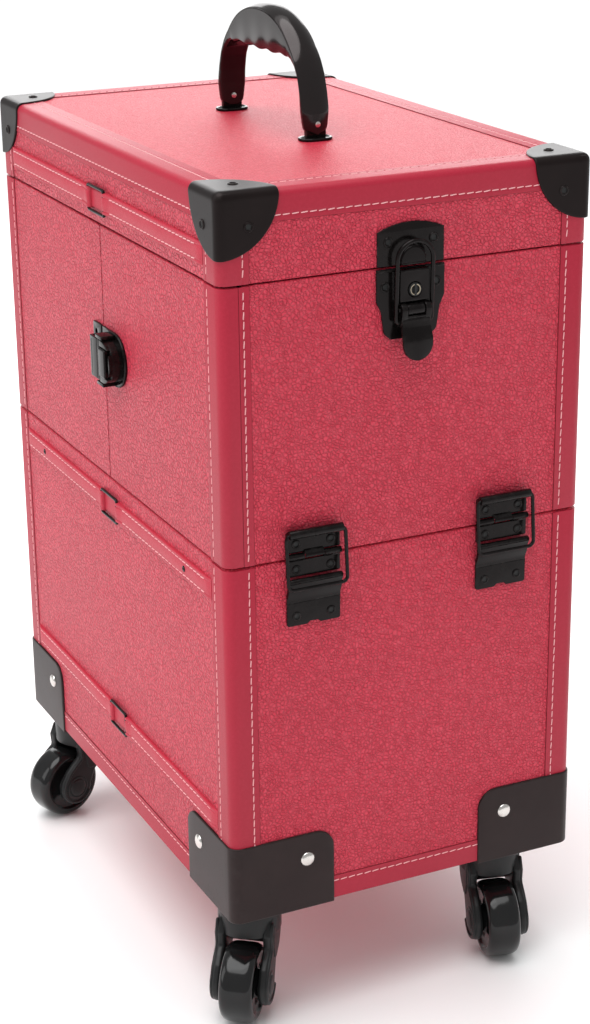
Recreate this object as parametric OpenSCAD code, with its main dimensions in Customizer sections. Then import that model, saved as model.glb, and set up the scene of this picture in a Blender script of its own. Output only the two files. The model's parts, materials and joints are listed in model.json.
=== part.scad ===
/* [Case] */
// Width of the case across the doors
case_w = 360; // [340:2:400]
// Depth of the case over the narrow sides
case_d = 232; // [224:2:260]
// Height of the lower section
lower_h = 225; // [215:1:260]
// Height of the upper section with the doors
upper_h = 163; // [163:1:180]
// Height of the lid
lid_h = 50.5; // [48:0.5:70]
// Thickness of the panels
wall = 7; // [6:0.5:7]
// Radius of the upright edges
edge_r = 6; // [6:0.5:6]

/* [Doors and drawers] */
// Thickness of a door
door_t = 12; // [12:1:12]
// Gap between the two doors
door_gap = 1.2; // [1:0.1:3]
// How far the drawer fronts stand behind the doors
drawer_recess = 22; // [22:1:30]
// Height of a drawer
drawer_h = 46; // [40:1:46]

/* [Casters] */
// Height from the floor to the underside of the case
caster_h = 77; // [77:1:90]
// Radius of a wheel
wheel_r = 24.5; // [22:0.5:24.5]
// Width of a wheel
wheel_w = 21; // [16:1:21]
// Distance from the swivel axis to the axle
caster_trail = 20; // [14:1:22]
// Inset of the swivel axes from the narrow sides
caster_inset_x = 32; // [32:1:45]
// Inset of the swivel axes from the front
caster_inset_front = 24; // [24:1:40]
// Inset of the swivel axes from the back
caster_inset_rear = 38; // [28:1:44]
// Resting swivel angle of the front right caster
angle_1 = -38; // [-180:1:180]
// Resting swivel angle of the rear right caster
angle_2 = -15; // [-180:1:180]
// Resting swivel angle of the front left caster
angle_3 = -72; // [-180:1:180]
// Resting swivel angle of the rear left caster
angle_4 = 90; // [-180:1:180]

/* [Handle] */
// Half the distance between the outer faces of the legs
handle_a = 66.5; // [60:0.5:80]
// Height of the grip above the lid
handle_rise = 74.5; // [60:0.5:90]
// Width of the handle across the case
handle_y = 17.8; // [14:0.1:18]

/* [Hardware] */
// Distance of a draw latch from the middle of the narrow side
latch_y = 62; // [50:1:70]
// Radius of the corner protectors
protector_r = 35.5; // [30:0.5:40]
// Length of a bottom bracket's leg
bracket_l = 66; // [50:1:70]

/* [Hidden] */
$fn = 48;

pink = [0.76, 0.31, 0.36];
pink_trim = [0.72, 0.26, 0.31];
iron = [0.1, 0.1, 0.1];
bronze = [0.16, 0.13, 0.12];
silver = [0.85, 0.83, 0.8];

hw = case_w / 2;
hd = case_d / 2;
z0 = caster_h;
z1 = z0 + lower_h;
z2 = z1 + upper_h;
z3 = z2 + lid_h;
skin = 0.8;
trim_side = 18;
trim_front = 20;
ax_x = hw - door_t / 2;      // door axis
ax_y = hd - door_t / 2;
lug_h = 6;
ub = z1 + 0.6;               // underside of the upper section
ut = z2 - 0.4;               // top of the upper section
tray_z = z1 + 112;           // underside of the tray floor
inner_y = hd - door_t;       // inner face of the doors

// upright block with rounded upright edges
module rbox(w, d, r, za, zb) {
  translate([0, 0, za]) linear_extrude(height = zb - za) union() {
    square([w - 2 * r, d], center = true);
    square([w, d - 2 * r], center = true);
    for (sx = [-1, 1], sy = [-1, 1]) translate([sx * (w / 2 - r), sy * (d / 2 - r)]) circle(r = r);
  }
}
module span(x0, x1, y0, y1, za, zb) { translate([x0, y0, za]) cube([x1 - x0, y1 - y0, zb - za]); }
// both narrow sides: children are drawn with x outwards from the face
module both_sides() {
  translate([hw, 0, 0]) children();
  mirror([1, 0, 0]) translate([hw, 0, 0]) children();
}
module on_side(s) { if (s > 0) translate([hw, 0, 0]) children(); else mirror([1, 0, 0]) translate([hw, 0, 0]) children(); }
// profile in x-z swept along y
module along_y(y0, y1) { translate([0, y1, 0]) rotate([90, 0, 0]) linear_extrude(height = y1 - y0) children(); }
// outline in y-z swept along x
module along_x(x0, x1) { translate([x0, 0, 0]) rotate([90, 0, 90]) linear_extrude(height = x1 - x0) children(); }
module bar_y(r, y0, y1, x, z) { translate([x, y1, z]) rotate([90, 0, 0]) cylinder(r = r, h = y1 - y0); }
module bar_x(r, x0, x1, y, z) { translate([x0, y, z]) rotate([0, 90, 0]) cylinder(r = r, h = x1 - x0); }
// low domed head that stands on a plate, axis along +x
module dome_x(r, h, x, y, z) {
  translate([x, y, z]) rotate([0, 90, 0]) rotate_extrude() polygon(concat([[0, 0]], [for (i = [0:6]) [r * cos(i * 15), h * sin(i * 15)]]));
}

// ---------- edge strips ----------
module corner_strip(sx, sy, za, zb) {
  intersection() {
    difference() {
      rbox(case_w, case_d, edge_r, za, zb);
      rbox(case_w - 2 * skin, case_d - 2 * skin, edge_r - skin, za - 1, zb + 1);
    }
    translate([sx > 0 ? hw - trim_front : -hw - 1, sy > 0 ? hd - trim_side : -hd - 1, za - 1]) cube([trim_front + 1, trim_side + 1, zb - za + 2]);
  }
}

// ---------- lower section ----------
module lower_shell() {
  color(pink) difference() {
    rbox(case_w, case_d, edge_r, z0, z1);
    span(-hw + wall, hw - wall, -hd + wall, hd - wall, z0 + 8, z1 - 4);
    span(-hw + wall + 3, hw - wall - 3, -inner_y + 4.8, hd - wall - 3, z0 + 8, z1 + 5);
    for (sx = [-1, 1], sy = [-1, 1]) corner_strip(sx, sy, z0 - 0.01, z1 + 0.01);
  }
}
// four strips on the rim that locate the section above
module locating_lip() {
  xo = hw - wall - 0.6;
  yf = -inner_y + 2.4;
  yb = hd - wall - 0.6;
  color([0.75, 0.75, 0.76]) {
    span(-xo, xo, yf, yf + 2.4, z1, z1 + 4.5);
    span(-xo, xo, yb - 2.4, yb, z1, z1 + 4.5);
    for (s = [-1, 1]) span(s > 0 ? xo - 2.4 : -xo, s > 0 ? xo : -xo + 2.4, yf + 2.8, yb - 2.8, z1, z1 + 4.5);
  }
}
module lower_edge_trim() { color(pink_trim) for (sx = [-1, 1], sy = [-1, 1]) corner_strip(sx, sy, z0, z1); }

module strap(z) { translate([0, -hd, z]) rotate([90, 0, 0]) linear_extrude(height = 2) square([2 * (hw - trim_front) - 1, 13], center = true); }
module buckle(z) {
  translate([0, -hd - 3.4, z]) for (s = [-1, 1]) {
    translate([-13, 0, s * 8]) rotate([0, 90, 0]) cylinder(r = 1.1, h = 26);
    translate([s * 13, 0, -8]) cylinder(r = 1.1, h = 16);
    for (t = [-1, 1]) translate([s * 13, 0, t * 8]) sphere(r = 1.1);
  }
}
module lower_straps() { color(pink_trim) { strap(z0 + 208); strap(z0 + 59.5); } }
module lower_strap_buckles() { color(iron) { buckle(z0 + 208); buckle(z0 + 59.5); } }

// one bracket, cut to its two legs with a rounded upper inner corner
module bracket_cut(sx, sy) {
  t = 1.5;
  intersection() {
    difference() {
      rbox(case_w + 2 * t, case_d + 2 * t, edge_r + t, z0 - t, z0 + 48.5);
      rbox(case_w, case_d, edge_r, z0, z0 + 60);
      rbox(case_w - 8, case_d - 8, 4, z0 - 5, z0 + 5);
    }
    union() {
      // leg on the narrow side, seen along x
      translate([sx > 0 ? hw - 8.5 : -hw - 6, 0, 0]) along_x(0, 14.5)
        bracket_outline(sy);
      // leg on the wide side, seen along y
      translate([0, sy > 0 ? hd - 8.5 : -hd - 6, 0]) along_y(0, 14.5)
        bracket_outline_x(sx);
    }
  }
}
module bracket_outline(s) {
  c = s * (hd + 1.6);
  e = s * (hd + 1.6 - bracket_l);
  r = 12;
  union() {
    translate([min(c, e), z0 - 2]) square([bracket_l, 50.6 - r]);
    translate([min(c, e + s * r), z0 - 2]) square([bracket_l - r, 50.6]);
    translate([e + s * r, z0 + 48.6 - r]) circle(r = r);
  }
}
module bracket_outline_x(s) {
  c = s * (hw + 1.6);
  e = s * (hw + 1.6 - bracket_l);
  r = 12;
  union() {
    translate([min(c, e), z0 - 2]) square([bracket_l, 50.6 - r]);
    translate([min(c, e + s * r), z0 - 2]) square([bracket_l - r, 50.6]);
    translate([e + s * r, z0 + 48.6 - r]) circle(r = r);
  }
}
module bottom_brackets() { color(bronze) for (sx = [-1, 1], sy = [-1, 1]) bracket_cut(sx, sy); }
module bracket_rivets() {
  color(silver) {
    both_sides() for (sy = [-1, 1]) dome_x(4.6, 1.9, 1.5, sy * (hd - 48), z0 + 32);
    for (sx = [-1, 1]) {
      translate([sx * (hw - 48), -hd - 1.5, z0 + 32]) rotate([0, 0, -90]) dome_x(4.6, 1.9, 0, 0, 0);
      translate([sx * (hw - 48), hd + 1.5, z0 + 32]) rotate([0, 0, 90]) dome_x(4.6, 1.9, 0, 0, 0);
    }
  }
}

// ---------- casters ----------
function cx(i) = (i == 1 || i == 2) ? hw - caster_inset_x : -hw + caster_inset_x;
function cy(i) = (i == 1 || i == 3) ? -hd + caster_inset_front : hd - caster_inset_rear;
function ca(i) = i == 1 ? angle_1 : i == 2 ? angle_2 : i == 3 ? angle_3 : angle_4;
module caster_sockets() {
  color(iron) for (i = [1:4]) translate([cx(i), cy(i), z0 - 3]) difference() {
    cylinder(r = 19.4, h = 2.95);
    translate([0, 0, -1]) cylinder(r = 5.05, h = 3.6);
  }
}
// housing in its own frame: swivel axis at the origin, wheel trailing along +x
module fork() {
  ci = wheel_w / 2 + 1.2;
  co = ci + 6.4;
  t = caster_trail;
  r = wheel_r;
  top = z0 - 3.7;
  difference() {
    union() {
      translate([0, 0, top - 20]) cylinder(r = 19.6, h = 18.5);
      translate([0, 0, top - 2]) cylinder(r = 18.2, h = 2);
      translate([0, 0, top - 1]) cylinder(r = 5, h = 4.1);
      for (s = [-1, 1]) along_y(s > 0 ? ci : -co, s > 0 ? co : -ci) union() {
        polygon([[-14, top - 4], [14, top - 4], [17.5, top - 19], [15.5, r + 21.5], [t + 2, r + 17.5], [t + 7, r + 13], [t + 11, r + 7], [t, r], [t - 13, r], [t - 17, r + 9], [t - 24.5, r + 14], [t - 29, r + 21.5], [-14.5, top - 19]]);
        translate([t, r]) circle(r = 13);
      }
      // back wall behind the wheel
      along_y(-ci - 0.5, ci + 0.5) polygon([[-16, top - 16], [2, top - 16], [2, r + 26], [t - 21, r + 19], [t - 21.5, r + 14.5], [t - 24.5, r + 14], [t - 29, r + 21.5], [-14.5, top - 19]]);
      bar_y(3, -ci - 1, ci + 1, t, r);
      bar_y(6.5, -co - 0.8, -co + 1, t, r);
      bar_y(6.5, co - 1, co + 0.8, t, r);
    }
    // room for the wheel, and the window above it
    difference() {
      union() {
        bar_y(r + 1.7, -ci, ci, t, r);
        span(2, 60, -ci, ci, r, top - 19.9);
      }
      bar_y(3, -ci - 1, ci + 1, t, r);
    }
  }
}
module fork_at(i) { color(iron) translate([cx(i), cy(i), 0]) rotate([0, 0, ca(i)]) fork(); }
module wheel() {
  w = wheel_w / 2;
  r = wheel_r;
  translate([caster_trail, 0, r]) rotate([90, 0, 0]) rotate_extrude($fn = 64)
    polygon([[3.05, -w + 0.6], [9, -w + 0.6], [9, -w + 2.6], [18.5, -w + 2.6], [19.3, -w + 0.4], [r - 3.2, -w], [r - 1, -w + 1.1], [r - 0.2, -w + 3.4], [r, -w + 6], [r, w - 6], [r - 0.2, w - 3.4], [r - 1, w - 1.1], [r - 3.2, w], [19.3, w - 0.4], [18.5, w - 2.6], [9, w - 2.6], [9, w - 0.6], [3.05, w - 0.6]]);
}
module wheel_at(i) { color([0.2, 0.2, 0.21]) translate([cx(i), cy(i), 0]) rotate([0, 0, ca(i)]) wheel(); }
module caster_fork_1() { fork_at(1); }
module caster_fork_2() { fork_at(2); }
module caster_fork_3() { fork_at(3); }
module caster_fork_4() { fork_at(4); }
module caster_wheel_1() { wheel_at(1); }
module caster_wheel_2() { wheel_at(2); }
module caster_wheel_3() { wheel_at(3); }
module caster_wheel_4() { wheel_at(4); }

// ---------- draw latches, four on the section seam ----------
kn_z = z1 + 2.3;     // knuckles on the seam
lip_z = z1 - 12.5;   // sprung lip
roll_z = z1 + 17;    // rolled tube of the keeper
module latch_plate() {
  along_x(0, 1.2) translate([-17, lip_z + 2.2]) square([34, z1 - lip_z - 2.6]);
  for (s = [-1, 1]) {
    along_y(s > 0 ? 6.2 : -17, s > 0 ? 17 : -6.2) union() {
      translate([0.25, z1 - 3]) square([0.95, 5.3]);
      translate([2.2, kn_z]) circle(r = 1.95);
    }
    dome_x(2.5, 1, 1.2, s * 11, z1 - 5.5);
    dome_x(2.5, 1, 1.3, s * 11, lip_z - 23.5);
  }
  difference() {
    along_y(-17, 17) union() {
      polygon([[0, lip_z - 28], [1.3, lip_z - 28], [1.3, lip_z - 13], [2.3, lip_z - 9.5], [4.2, lip_z - 6], [4.5, lip_z], [3.1, lip_z], [2.9, lip_z - 5.4], [1.1, lip_z - 8.6], [0, lip_z - 12]]);
      translate([3.8, lip_z]) circle(r = 1.8);
    }
    along_x(-1, 3) translate([0, lip_z - 28.5]) circle(r = 3);
  }
}
module draw_latch_plates() { color(iron) both_sides() for (s = [-1, 1]) translate([0, s * latch_y, 0]) latch_plate(); }
module keeper() {
  difference() {
    union() {
      along_x(0, 1.2) translate([-17, z1 + 4.5]) square([34, roll_z - z1 - 4.5]);
      along_y(-17, 17) union() {
        polygon([[0, roll_z - 2.4], [1.2, roll_z - 2.4], [4, roll_z - 2.2], [5, roll_z], [5, roll_z + 2.4], [3, roll_z + 1.8], [0, roll_z + 0.6]]);
        translate([5, roll_z]) circle(r = 2.4);
      }
      along_y(-5.8, 5.8) union() {
        translate([0.25, kn_z]) square([0.95, 3]);
        translate([2.2, kn_z]) circle(r = 1.95);
      }
    }
    bar_y(1.25, -20, 20, 5, roll_z);
  }
  for (s = [-1, 1]) dome_x(2.5, 1, 1.2, s * 11, z1 + 9);
}
module draw_latch_keepers() { color(iron) both_sides() for (s = [-1, 1]) translate([0, s * latch_y, 0]) keeper(); }
module ring() {
  r = 1.2;
  drop = roll_z - z1 + 15.9;
  tilt = atan(2.6 / drop);
  bar_y(1.18, -19, 19, 5, roll_z);
  bar_y(1.1, -19, 19, 5 + drop * sin(tilt), roll_z - drop * cos(tilt));
  for (s = [-1, 1]) along_y(s > 0 ? 18.1 : -20.5, s > 0 ? 20.5 : -18.1) translate([5, roll_z]) rotate(tilt) union() {
    translate([-r, -drop]) square([2 * r, drop]);
    circle(r = r);
    translate([0, -drop]) circle(r = r);
  }
}
module ring_at(sx, sy) { color(iron) on_side(sx) translate([0, sy * latch_y, 0]) ring(); }
module draw_latch_ring_1() { ring_at(1, -1); }
module draw_latch_ring_2() { ring_at(1, 1); }
module draw_latch_ring_3() { ring_at(-1, -1); }
module draw_latch_ring_4() { ring_at(-1, 1); }

// ---------- upper section ----------
sweep_r = sqrt(2) * door_t / 2 + 0.32;
module door_sweep() { for (s = [-1, 1]) translate([s * ax_x, -ax_y, ub + lug_h]) cylinder(r = sweep_r, h = ut - ub - 2 * lug_h); }
module upper_shell() {
  color(pink) difference() {
    union() {
      intersection() {
        rbox(case_w, case_d, edge_r, ub, ut);
        union() {
          for (s = [-1, 1]) span(s > 0 ? hw - wall : -hw, s > 0 ? hw : -hw + wall, -inner_y + 0.4, hd, ub, ut);
          span(-hw, hw, hd - wall, hd, ub, ut);
        }
      }
      span(-hw + wall - 0.5, hw - wall + 0.5, -inner_y + 0.6, hd - wall + 0.5, z1 + 6.2, z1 + 12);
      span(-hw + wall - 0.5, hw - wall + 0.5, -inner_y + 0.6, hd - wall + 0.5, tray_z, tray_z + 6);
      span(-hw + wall - 0.5, hw - wall + 0.5, -inner_y + 0.6, -inner_y + 6.6, tray_z + 5, ut);
      span(-4, 4, -inner_y + drawer_recess + 2, hd - wall + 0.5, z1 + 11.5, tray_z + 0.5);
      // hinge lugs of the doors
      for (s = [-1, 1], zz = [ub, ut - lug_h]) {
        translate([s * ax_x, -ax_y, zz]) cylinder(r = door_t / 2, h = lug_h);
        span(s > 0 ? ax_x - 6 : -hw, s > 0 ? hw : -ax_x + 6, -ax_y, -inner_y + 1.6, zz, zz + lug_h);
      }
    }
    for (s = [-1, 1]) translate([s * ax_x, -ax_y, ub - 1]) cylinder(r = 2.05, h = upper_h + 2);
    // room for the square inner corner of a door to turn
    door_sweep();
    for (s = [-1, 1]) corner_strip(s, 1, ub - 0.01, ut + 0.01);
    // recess for the side strips behind the doors
    for (s = [-1, 1]) span(s > 0 ? hw - skin : -hw - 1, s > 0 ? hw + 1 : -hw + skin, -inner_y + 0.59, -hd + trim_side, ub + lug_h, ut - lug_h);
  }
}
module upper_edge_trim() {
  color(pink_trim) {
    for (s = [-1, 1]) {
      corner_strip(s, 1, ub, ut);
      difference() {
        span(s > 0 ? hw - skin : -hw, s > 0 ? hw : -hw + skin, -inner_y + 0.6, -hd + trim_side, ub + lug_h, ut - lug_h);
        door_sweep();
      }
    }
  }
}
drawer_x0 = 14;
drawer_x1 = 160;
drawer_y0 = -inner_y + drawer_recess;
drawer_y1 = hd - wall - 4;
function dz(row) = z1 + 13.5 + row * (drawer_h + 3.5);
module runner(row) {
  z = dz(row);
  // outer rail
  span(drawer_x1 - 3.7, hw - wall, drawer_y0 + 10, drawer_y1, z - 1.3, z + 14);
  span(drawer_x1 - 11, hw - wall, drawer_y0 + 10, drawer_y1, z - 1.3, z - 0.3);
  // inner rail on the partition
  span(4, drawer_x0 + 3.7, drawer_y0 + 10, drawer_y1, z - 1.3, z + 14);
  span(4, drawer_x0 + 11, drawer_y0 + 10, drawer_y1, z - 1.3, z - 0.3);
}
module drawer_runners() { color([0.75, 0.75, 0.76]) for (row = [0, 1]) { runner(row); mirror([1, 0, 0]) runner(row); } }
module drawer(s, row) {
  z = dz(row);
  mirror([s > 0 ? 0 : 1, 0, 0]) difference() {
    union() {
      span(drawer_x0, drawer_x1, drawer_y0, drawer_y0 + 8, z, z + drawer_h);
      span(drawer_x0 + 4, drawer_x1 - 4, drawer_y0 + 7, drawer_y1, z, z + drawer_h - 3);
    }
    span(drawer_x0 + 8, drawer_x1 - 8, drawer_y0 + 9, drawer_y1 - 4, z + 4, z + drawer_h + 1);
    translate([(drawer_x0 + drawer_x1) / 2, drawer_y0 - 1, z + drawer_h / 2]) rotate([-90, 0, 0]) cylinder(r = 1.6, h = 7);
  }
}
module knob(s, row) {
  z = dz(row) + drawer_h / 2;
  translate([s * (drawer_x0 + drawer_x1) / 2, drawer_y0, z]) rotate([90, 0, 0]) rotate_extrude()
    polygon([[0, -5.5], [1.6, -5.5], [1.6, 0], [4.4, 0], [4.4, 1], [2.6, 2], [2.4, 5], [4, 6.4], [6, 7.4], [6.6, 9], [6, 10.4], [4, 11.4], [0, 11.8]]);
}
module drawer_1() { color([0.82, 0.4, 0.44]) drawer(1, 0); }
module drawer_2() { color([0.82, 0.4, 0.44]) drawer(1, 1); }
module drawer_3() { color([0.82, 0.4, 0.44]) drawer(-1, 0); }
module drawer_4() { color([0.82, 0.4, 0.44]) drawer(-1, 1); }
module drawer_knob_1() { color(iron) knob(1, 0); }
module drawer_knob_2() { color(iron) knob(1, 1); }
module drawer_knob_3() { color(iron) knob(-1, 0); }
module drawer_knob_4() { color(iron) knob(-1, 1); }

// ---------- doors ----------
module door(s) {
  zb = ub + 0.4;
  zt = ut - 0.3;
  mirror([s > 0 ? 0 : 1, 0, 0]) difference() {
    union() {
      intersection() {
        rbox(case_w, case_d, edge_r, zb, zt);
        span(door_gap / 2, hw, -hd, -inner_y, zb, zt);
      }
    }
    for (zz = [zb - 1, ut - lug_h - 0.4]) difference() {
      span(ax_x - 7.5, hw + 2, -hd - 1, -inner_y + 1, zz, zz + lug_h + 1.4);
      translate([ax_x, -ax_y, zz - 1]) cylinder(r = 2, h = lug_h + 5);
    }
  }
}
module door_left() { color(pink) door(-1); }
module door_right() { color(pink) door(1); }

lz = z0 + 308;       // middle of the door latch
module door_keeper() {
  color(iron) difference() {
    union() {
      span(-15, -1, -hd - 1.5, -hd, lz - 17, lz + 17);
      span(-4, -1.6, -hd - 5, -hd, lz - 6, lz + 6);
    }
    for (s = [-1, 1]) translate([-9.5, -hd - 3, lz + s * 11]) rotate([-90, 0, 0]) cylinder(r = 1.8, h = 4);
  }
}
module d_plate(x0, r, ya, yb) {
  translate([0, yb, lz]) rotate([90, 0, 0]) linear_extrude(height = yb - ya) union() {
    translate([x0, -r]) square([21 - x0, 2 * r]);
    intersection() { translate([21, 0]) circle(r = r); translate([20.9, -r]) square([r + 1, 2 * r]); }
  }
}
module door_latch_base() {
  color(iron) difference() {
    union() {
      d_plate(1, 17, -hd - 1.5, -hd);
      d_plate(17.5, 13.2, -hd - 10.5, -hd - 1);
      for (s = [-1, 1]) span(11.8, 21, -hd - 10.5, -hd - 1, s > 0 ? lz + 13.4 : lz - 16, s > 0 ? lz + 16 : lz - 13.4);
    }
    span(18.3, 32.4, -hd - 12, -hd - 8, lz - 9.4, lz + 9.4);
    translate([14.4, -hd - 7.8, lz - 20]) cylinder(r = 1.25, h = 40);
  }
}
module door_latch_hasp() {
  color(iron) {
    span(1, 12.6, -hd - 10, -hd - 8.2, lz - 13, lz + 13);
    span(1, 2.6, -hd - 9, -hd - 2.2, lz - 13, lz + 13);
    span(12, 14.4, -hd - 9.8, -hd - 7, lz - 13, lz + 13);
    translate([14.4, -hd - 7.8, lz - 13]) cylinder(r = 2, h = 26);
    translate([14.4, -hd - 7.8, lz - 15.8]) cylinder(r = 1.2, h = 31.6);
  }
}
module door_latch_button() { color(iron) span(18.7, 28.6, -hd - 11.6, -hd - 8.3, lz - 9, lz + 9); }

// ---------- lid hinges at the back ----------
hin_y = hd + 3.4;
module hinge_at() { for (s = [-1, 1]) translate([s * 105, 0, 0]) children(); }
module hinge_leaves_body() {
  color(iron) hinge_at() {
    span(-20, 20, hd, hd + 1.2, z2 - 26, z2 - 3.6);
    for (s = [-1, 1]) difference() {
      union() {
        translate([s > 0 ? 7 : -20, hin_y, z2]) rotate([0, 90, 0]) cylinder(r = 3, h = 13);
        span(s > 0 ? 7 : -20, s > 0 ? 20 : -7, hd + 0.3, hd + 1.5, z2 - 5, z2);
      }
      translate([-21, hin_y, z2]) rotate([0, 90, 0]) cylinder(r = 1.55, h = 42);
    }
  }
}
module hinge_leaves_lid() {
  color(iron) hinge_at() {
    span(-20, 20, hd, hd + 1.2, z2 + 3.6, z2 + 26);
    translate([-6.6, hin_y, z2]) rotate([0, 90, 0]) cylinder(r = 3, h = 13.2);
    span(-6.6, 6.6, hd + 0.3, hd + 1.5, z2, z2 + 5);
    translate([-19.8, hin_y, z2]) rotate([0, 90, 0]) cylinder(r = 1.5, h = 39.6);
  }
}

// ---------- keyed lid latches on the narrow sides ----------
pz = z2 - 24;        // lever pivot height
px = 5.6;            // lever pivot stand-off
qz = pz - 7;         // bail pivot
qx = 5.1;
module key_base() {
  along_x(0, 1.2) polygon([[-21.5, z2 - 0.8], [21.5, z2 - 0.8], [21.5, z2 - 19], [18.6, z2 - 25], [17.4, z2 - 33], [16.4, z2 - 38], [13, z2 - 41.5], [-13, z2 - 41.5], [-16.4, z2 - 38], [-17.4, z2 - 33], [-18.6, z2 - 25], [-21.5, z2 - 19]]);
  difference() {
    span(0, 6.3, -9.4, 9.4, z2 - 19.6, z2 - 1.2);
    bar_x(4.05, 1.8, 8, 0, z2 - 12.7);
  }
  span(0, px, -5.2, 5.2, pz - 3.4, pz + 3.4);
  bar_y(3.4, -5.2, 5.2, px, pz);
  bar_y(1.2, -9.3, 9.3, px, pz);
  for (s = [-1, 1]) dome_x(2.4, 1.1, 1.2, s * 16.4, z2 - 10.8);
}
module key_latch_bases() { color(iron) both_sides() key_base(); }
module key_lever() {
  difference() {
    union() {
      for (s = [-1, 1]) along_y(s > 0 ? 5.6 : -9.4, s > 0 ? 9.4 : -5.6) union() {
        translate([px, pz]) circle(r = 4);
        translate([qx, qz]) circle(r = 2.8);
        polygon([[px - 4, pz], [px + 4, pz], [qx + 2.8, qz], [qx - 2.8, qz]]);
      }
      intersection() {
        along_y(-9.4, 9.4) polygon([[7.0, pz - 4.1], [9.1, pz - 4.1], [8.9, pz - 10], [11.2, pz - 15], [11.4, pz - 29], [9.8, pz - 29], [9.6, pz - 15.6], [7.2, pz - 10.6]]);
        along_x(0, 20) union() {
          translate([-9.4, pz - 19.4]) square([18.8, 25]);
          translate([0, pz - 19.4]) circle(r = 9.3);
        }
      }
      for (s = [-1, 1]) along_y(s > 0 ? 7.6 : -9.4, s > 0 ? 9.4 : -7.6) polygon([[qx, qz - 2.7], [qx, qz + 2], [8.9, pz - 4.2], [8.9, pz - 10]]);
    }
    bar_y(1.25, -12, 12, px, pz);
    bar_y(1.35, -12, 12, qx, qz);
  }
}
module key_latch_lever_right() { color(iron) on_side(1) key_lever(); }
module key_latch_lever_left() { color(iron) on_side(-1) key_lever(); }
// inverted U of wire, hooked into the lever's cheeks
module key_bail() {
  r = 1.3;
  w = 11.2;
  up = 34.8;
  translate([qx, 0, qz]) rotate([0, 2.4, 0]) {
    for (s = [-1, 1]) {
      translate([0, s * w, 0]) cylinder(r = r, h = up);
      translate([0, s * w, 0]) sphere(r = r);
      translate([0, s > 0 ? w : -6.2, 0]) rotate([90, 0, 0]) cylinder(r = r, h = w - 6.2);
    }
    translate([0, 0, up]) rotate([90, 0, 90]) rotate_extrude(angle = 180) translate([w, 0]) circle(r = r, $fn = 32);
  }
}
module key_latch_bail_right() { color(silver * 0.35) on_side(1) key_bail(); }
module key_latch_bail_left() { color(silver * 0.35) on_side(-1) key_bail(); }
module key_plug() {
  difference() {
    bar_x(4, 2, 7, 0, z2 - 12.7);
    span(5.5, 8, -0.6, 0.6, z2 - 15.2, z2 - 10.2);
  }
}
module key_plug_right() { color(silver) on_side(1) key_plug(); }
module key_plug_left() { color(silver) on_side(-1) key_plug(); }

// ---------- lid ----------
lr = 4;
module lid_block(g) {
  hull() {
    rbox(case_w + 2 * g, case_d + 2 * g, edge_r + g, z2 + 0.2 - (g > 0 ? 2 : 0), z3 - lr);
    for (sx = [-1, 1], sy = [-1, 1]) translate([sx * (hw - edge_r), sy * (hd - edge_r), z3 - lr])
      rotate_extrude($fn = 32) polygon(concat([[0, 0]], [for (i = [0:5]) [edge_r - lr + (lr + g) * cos(i * 18), (lr + g) * sin(i * 18)]]));
  }
}
module lid_shell() {
  color(pink) difference() {
    lid_block(0);
    span(-hw + wall, hw - wall, -hd + wall, hd - wall, z2 - 1, z3 - 6.5);
    for (sx = [-1, 1], sy = [-1, 1]) corner_strip(sx, sy, z2, z3 - protector_r + 1);
  }
}
module lid_edge_trim() { color(pink_trim) for (sx = [-1, 1], sy = [-1, 1]) corner_strip(sx, sy, z2 + 0.2, z3 - protector_r + 1); }
module lid_strap() { color(pink_trim) strap(z0 + 403); }
module lid_strap_buckle() { color(iron) buckle(z0 + 403); }
module corner_protectors() {
  color(iron) difference() {
    intersection() {
      lid_block(1.5);
      for (sx = [-1, 1], sy = [-1, 1]) translate([sx * hw, sy * hd, z3]) sphere(r = protector_r, $fn = 64);
    }
    lid_block(0.02);
    span(-hw - 5, hw + 5, -hd - 5, hd + 5, z2 - 5, z2 + 0.6);
  }
}
module protector_rivets() {
  color(iron) {
    both_sides() for (sy = [-1, 1]) dome_x(3.2, 1, 1.5, sy * (hd - 17.5), z3 - 18.5);
    for (sx = [-1, 1]) {
      translate([sx * (hw - 17), -hd - 1.5, z3 - 18.5]) rotate([0, 0, -90]) dome_x(3.2, 1, 0, 0, 0);
      translate([sx * (hw - 17), hd + 1.5, z3 - 18.5]) rotate([0, 0, 90]) dome_x(3.2, 1, 0, 0, 0);
      for (sy = [-1, 1]) translate([sx * (hw - 17), sy * (hd - 17), z3 + 1.5]) rotate([0, -90, 0]) dome_x(3.2, 1, 0, 0, 0);
    }
  }
}
module key_catch() {
  along_x(0, 1.2) intersection() {
    translate([-21, z2 + 0.6]) square([42, 30]);
    translate([0, z2 - 24.6]) circle(r = 49.3, $fn = 96);
  }
  along_x(0, 5.2) union() {
    translate([-8, z2 + 1.2]) square([16, 2.5]);
    translate([0, z2 + 3.7]) circle(r = 8);
    translate([-8, z2 + 1.2]) square([16, 3]);
  }
  for (s = [-1, 1]) dome_x(2.6, 1, 1.2, s * 14.3, z2 + 14.3);
}
module key_catches() {
  color(iron) difference() {
    both_sides() key_catch();
    span(-hw - 20, hw + 20, -30, 30, z2 - 30, z2 + 0.6);
  }
}
module lid_mirror() { color([0.8, 0.85, 0.88]) span(-150, 150, -88, 88, z3 - 9.2, z3 - 6.6); }

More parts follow.
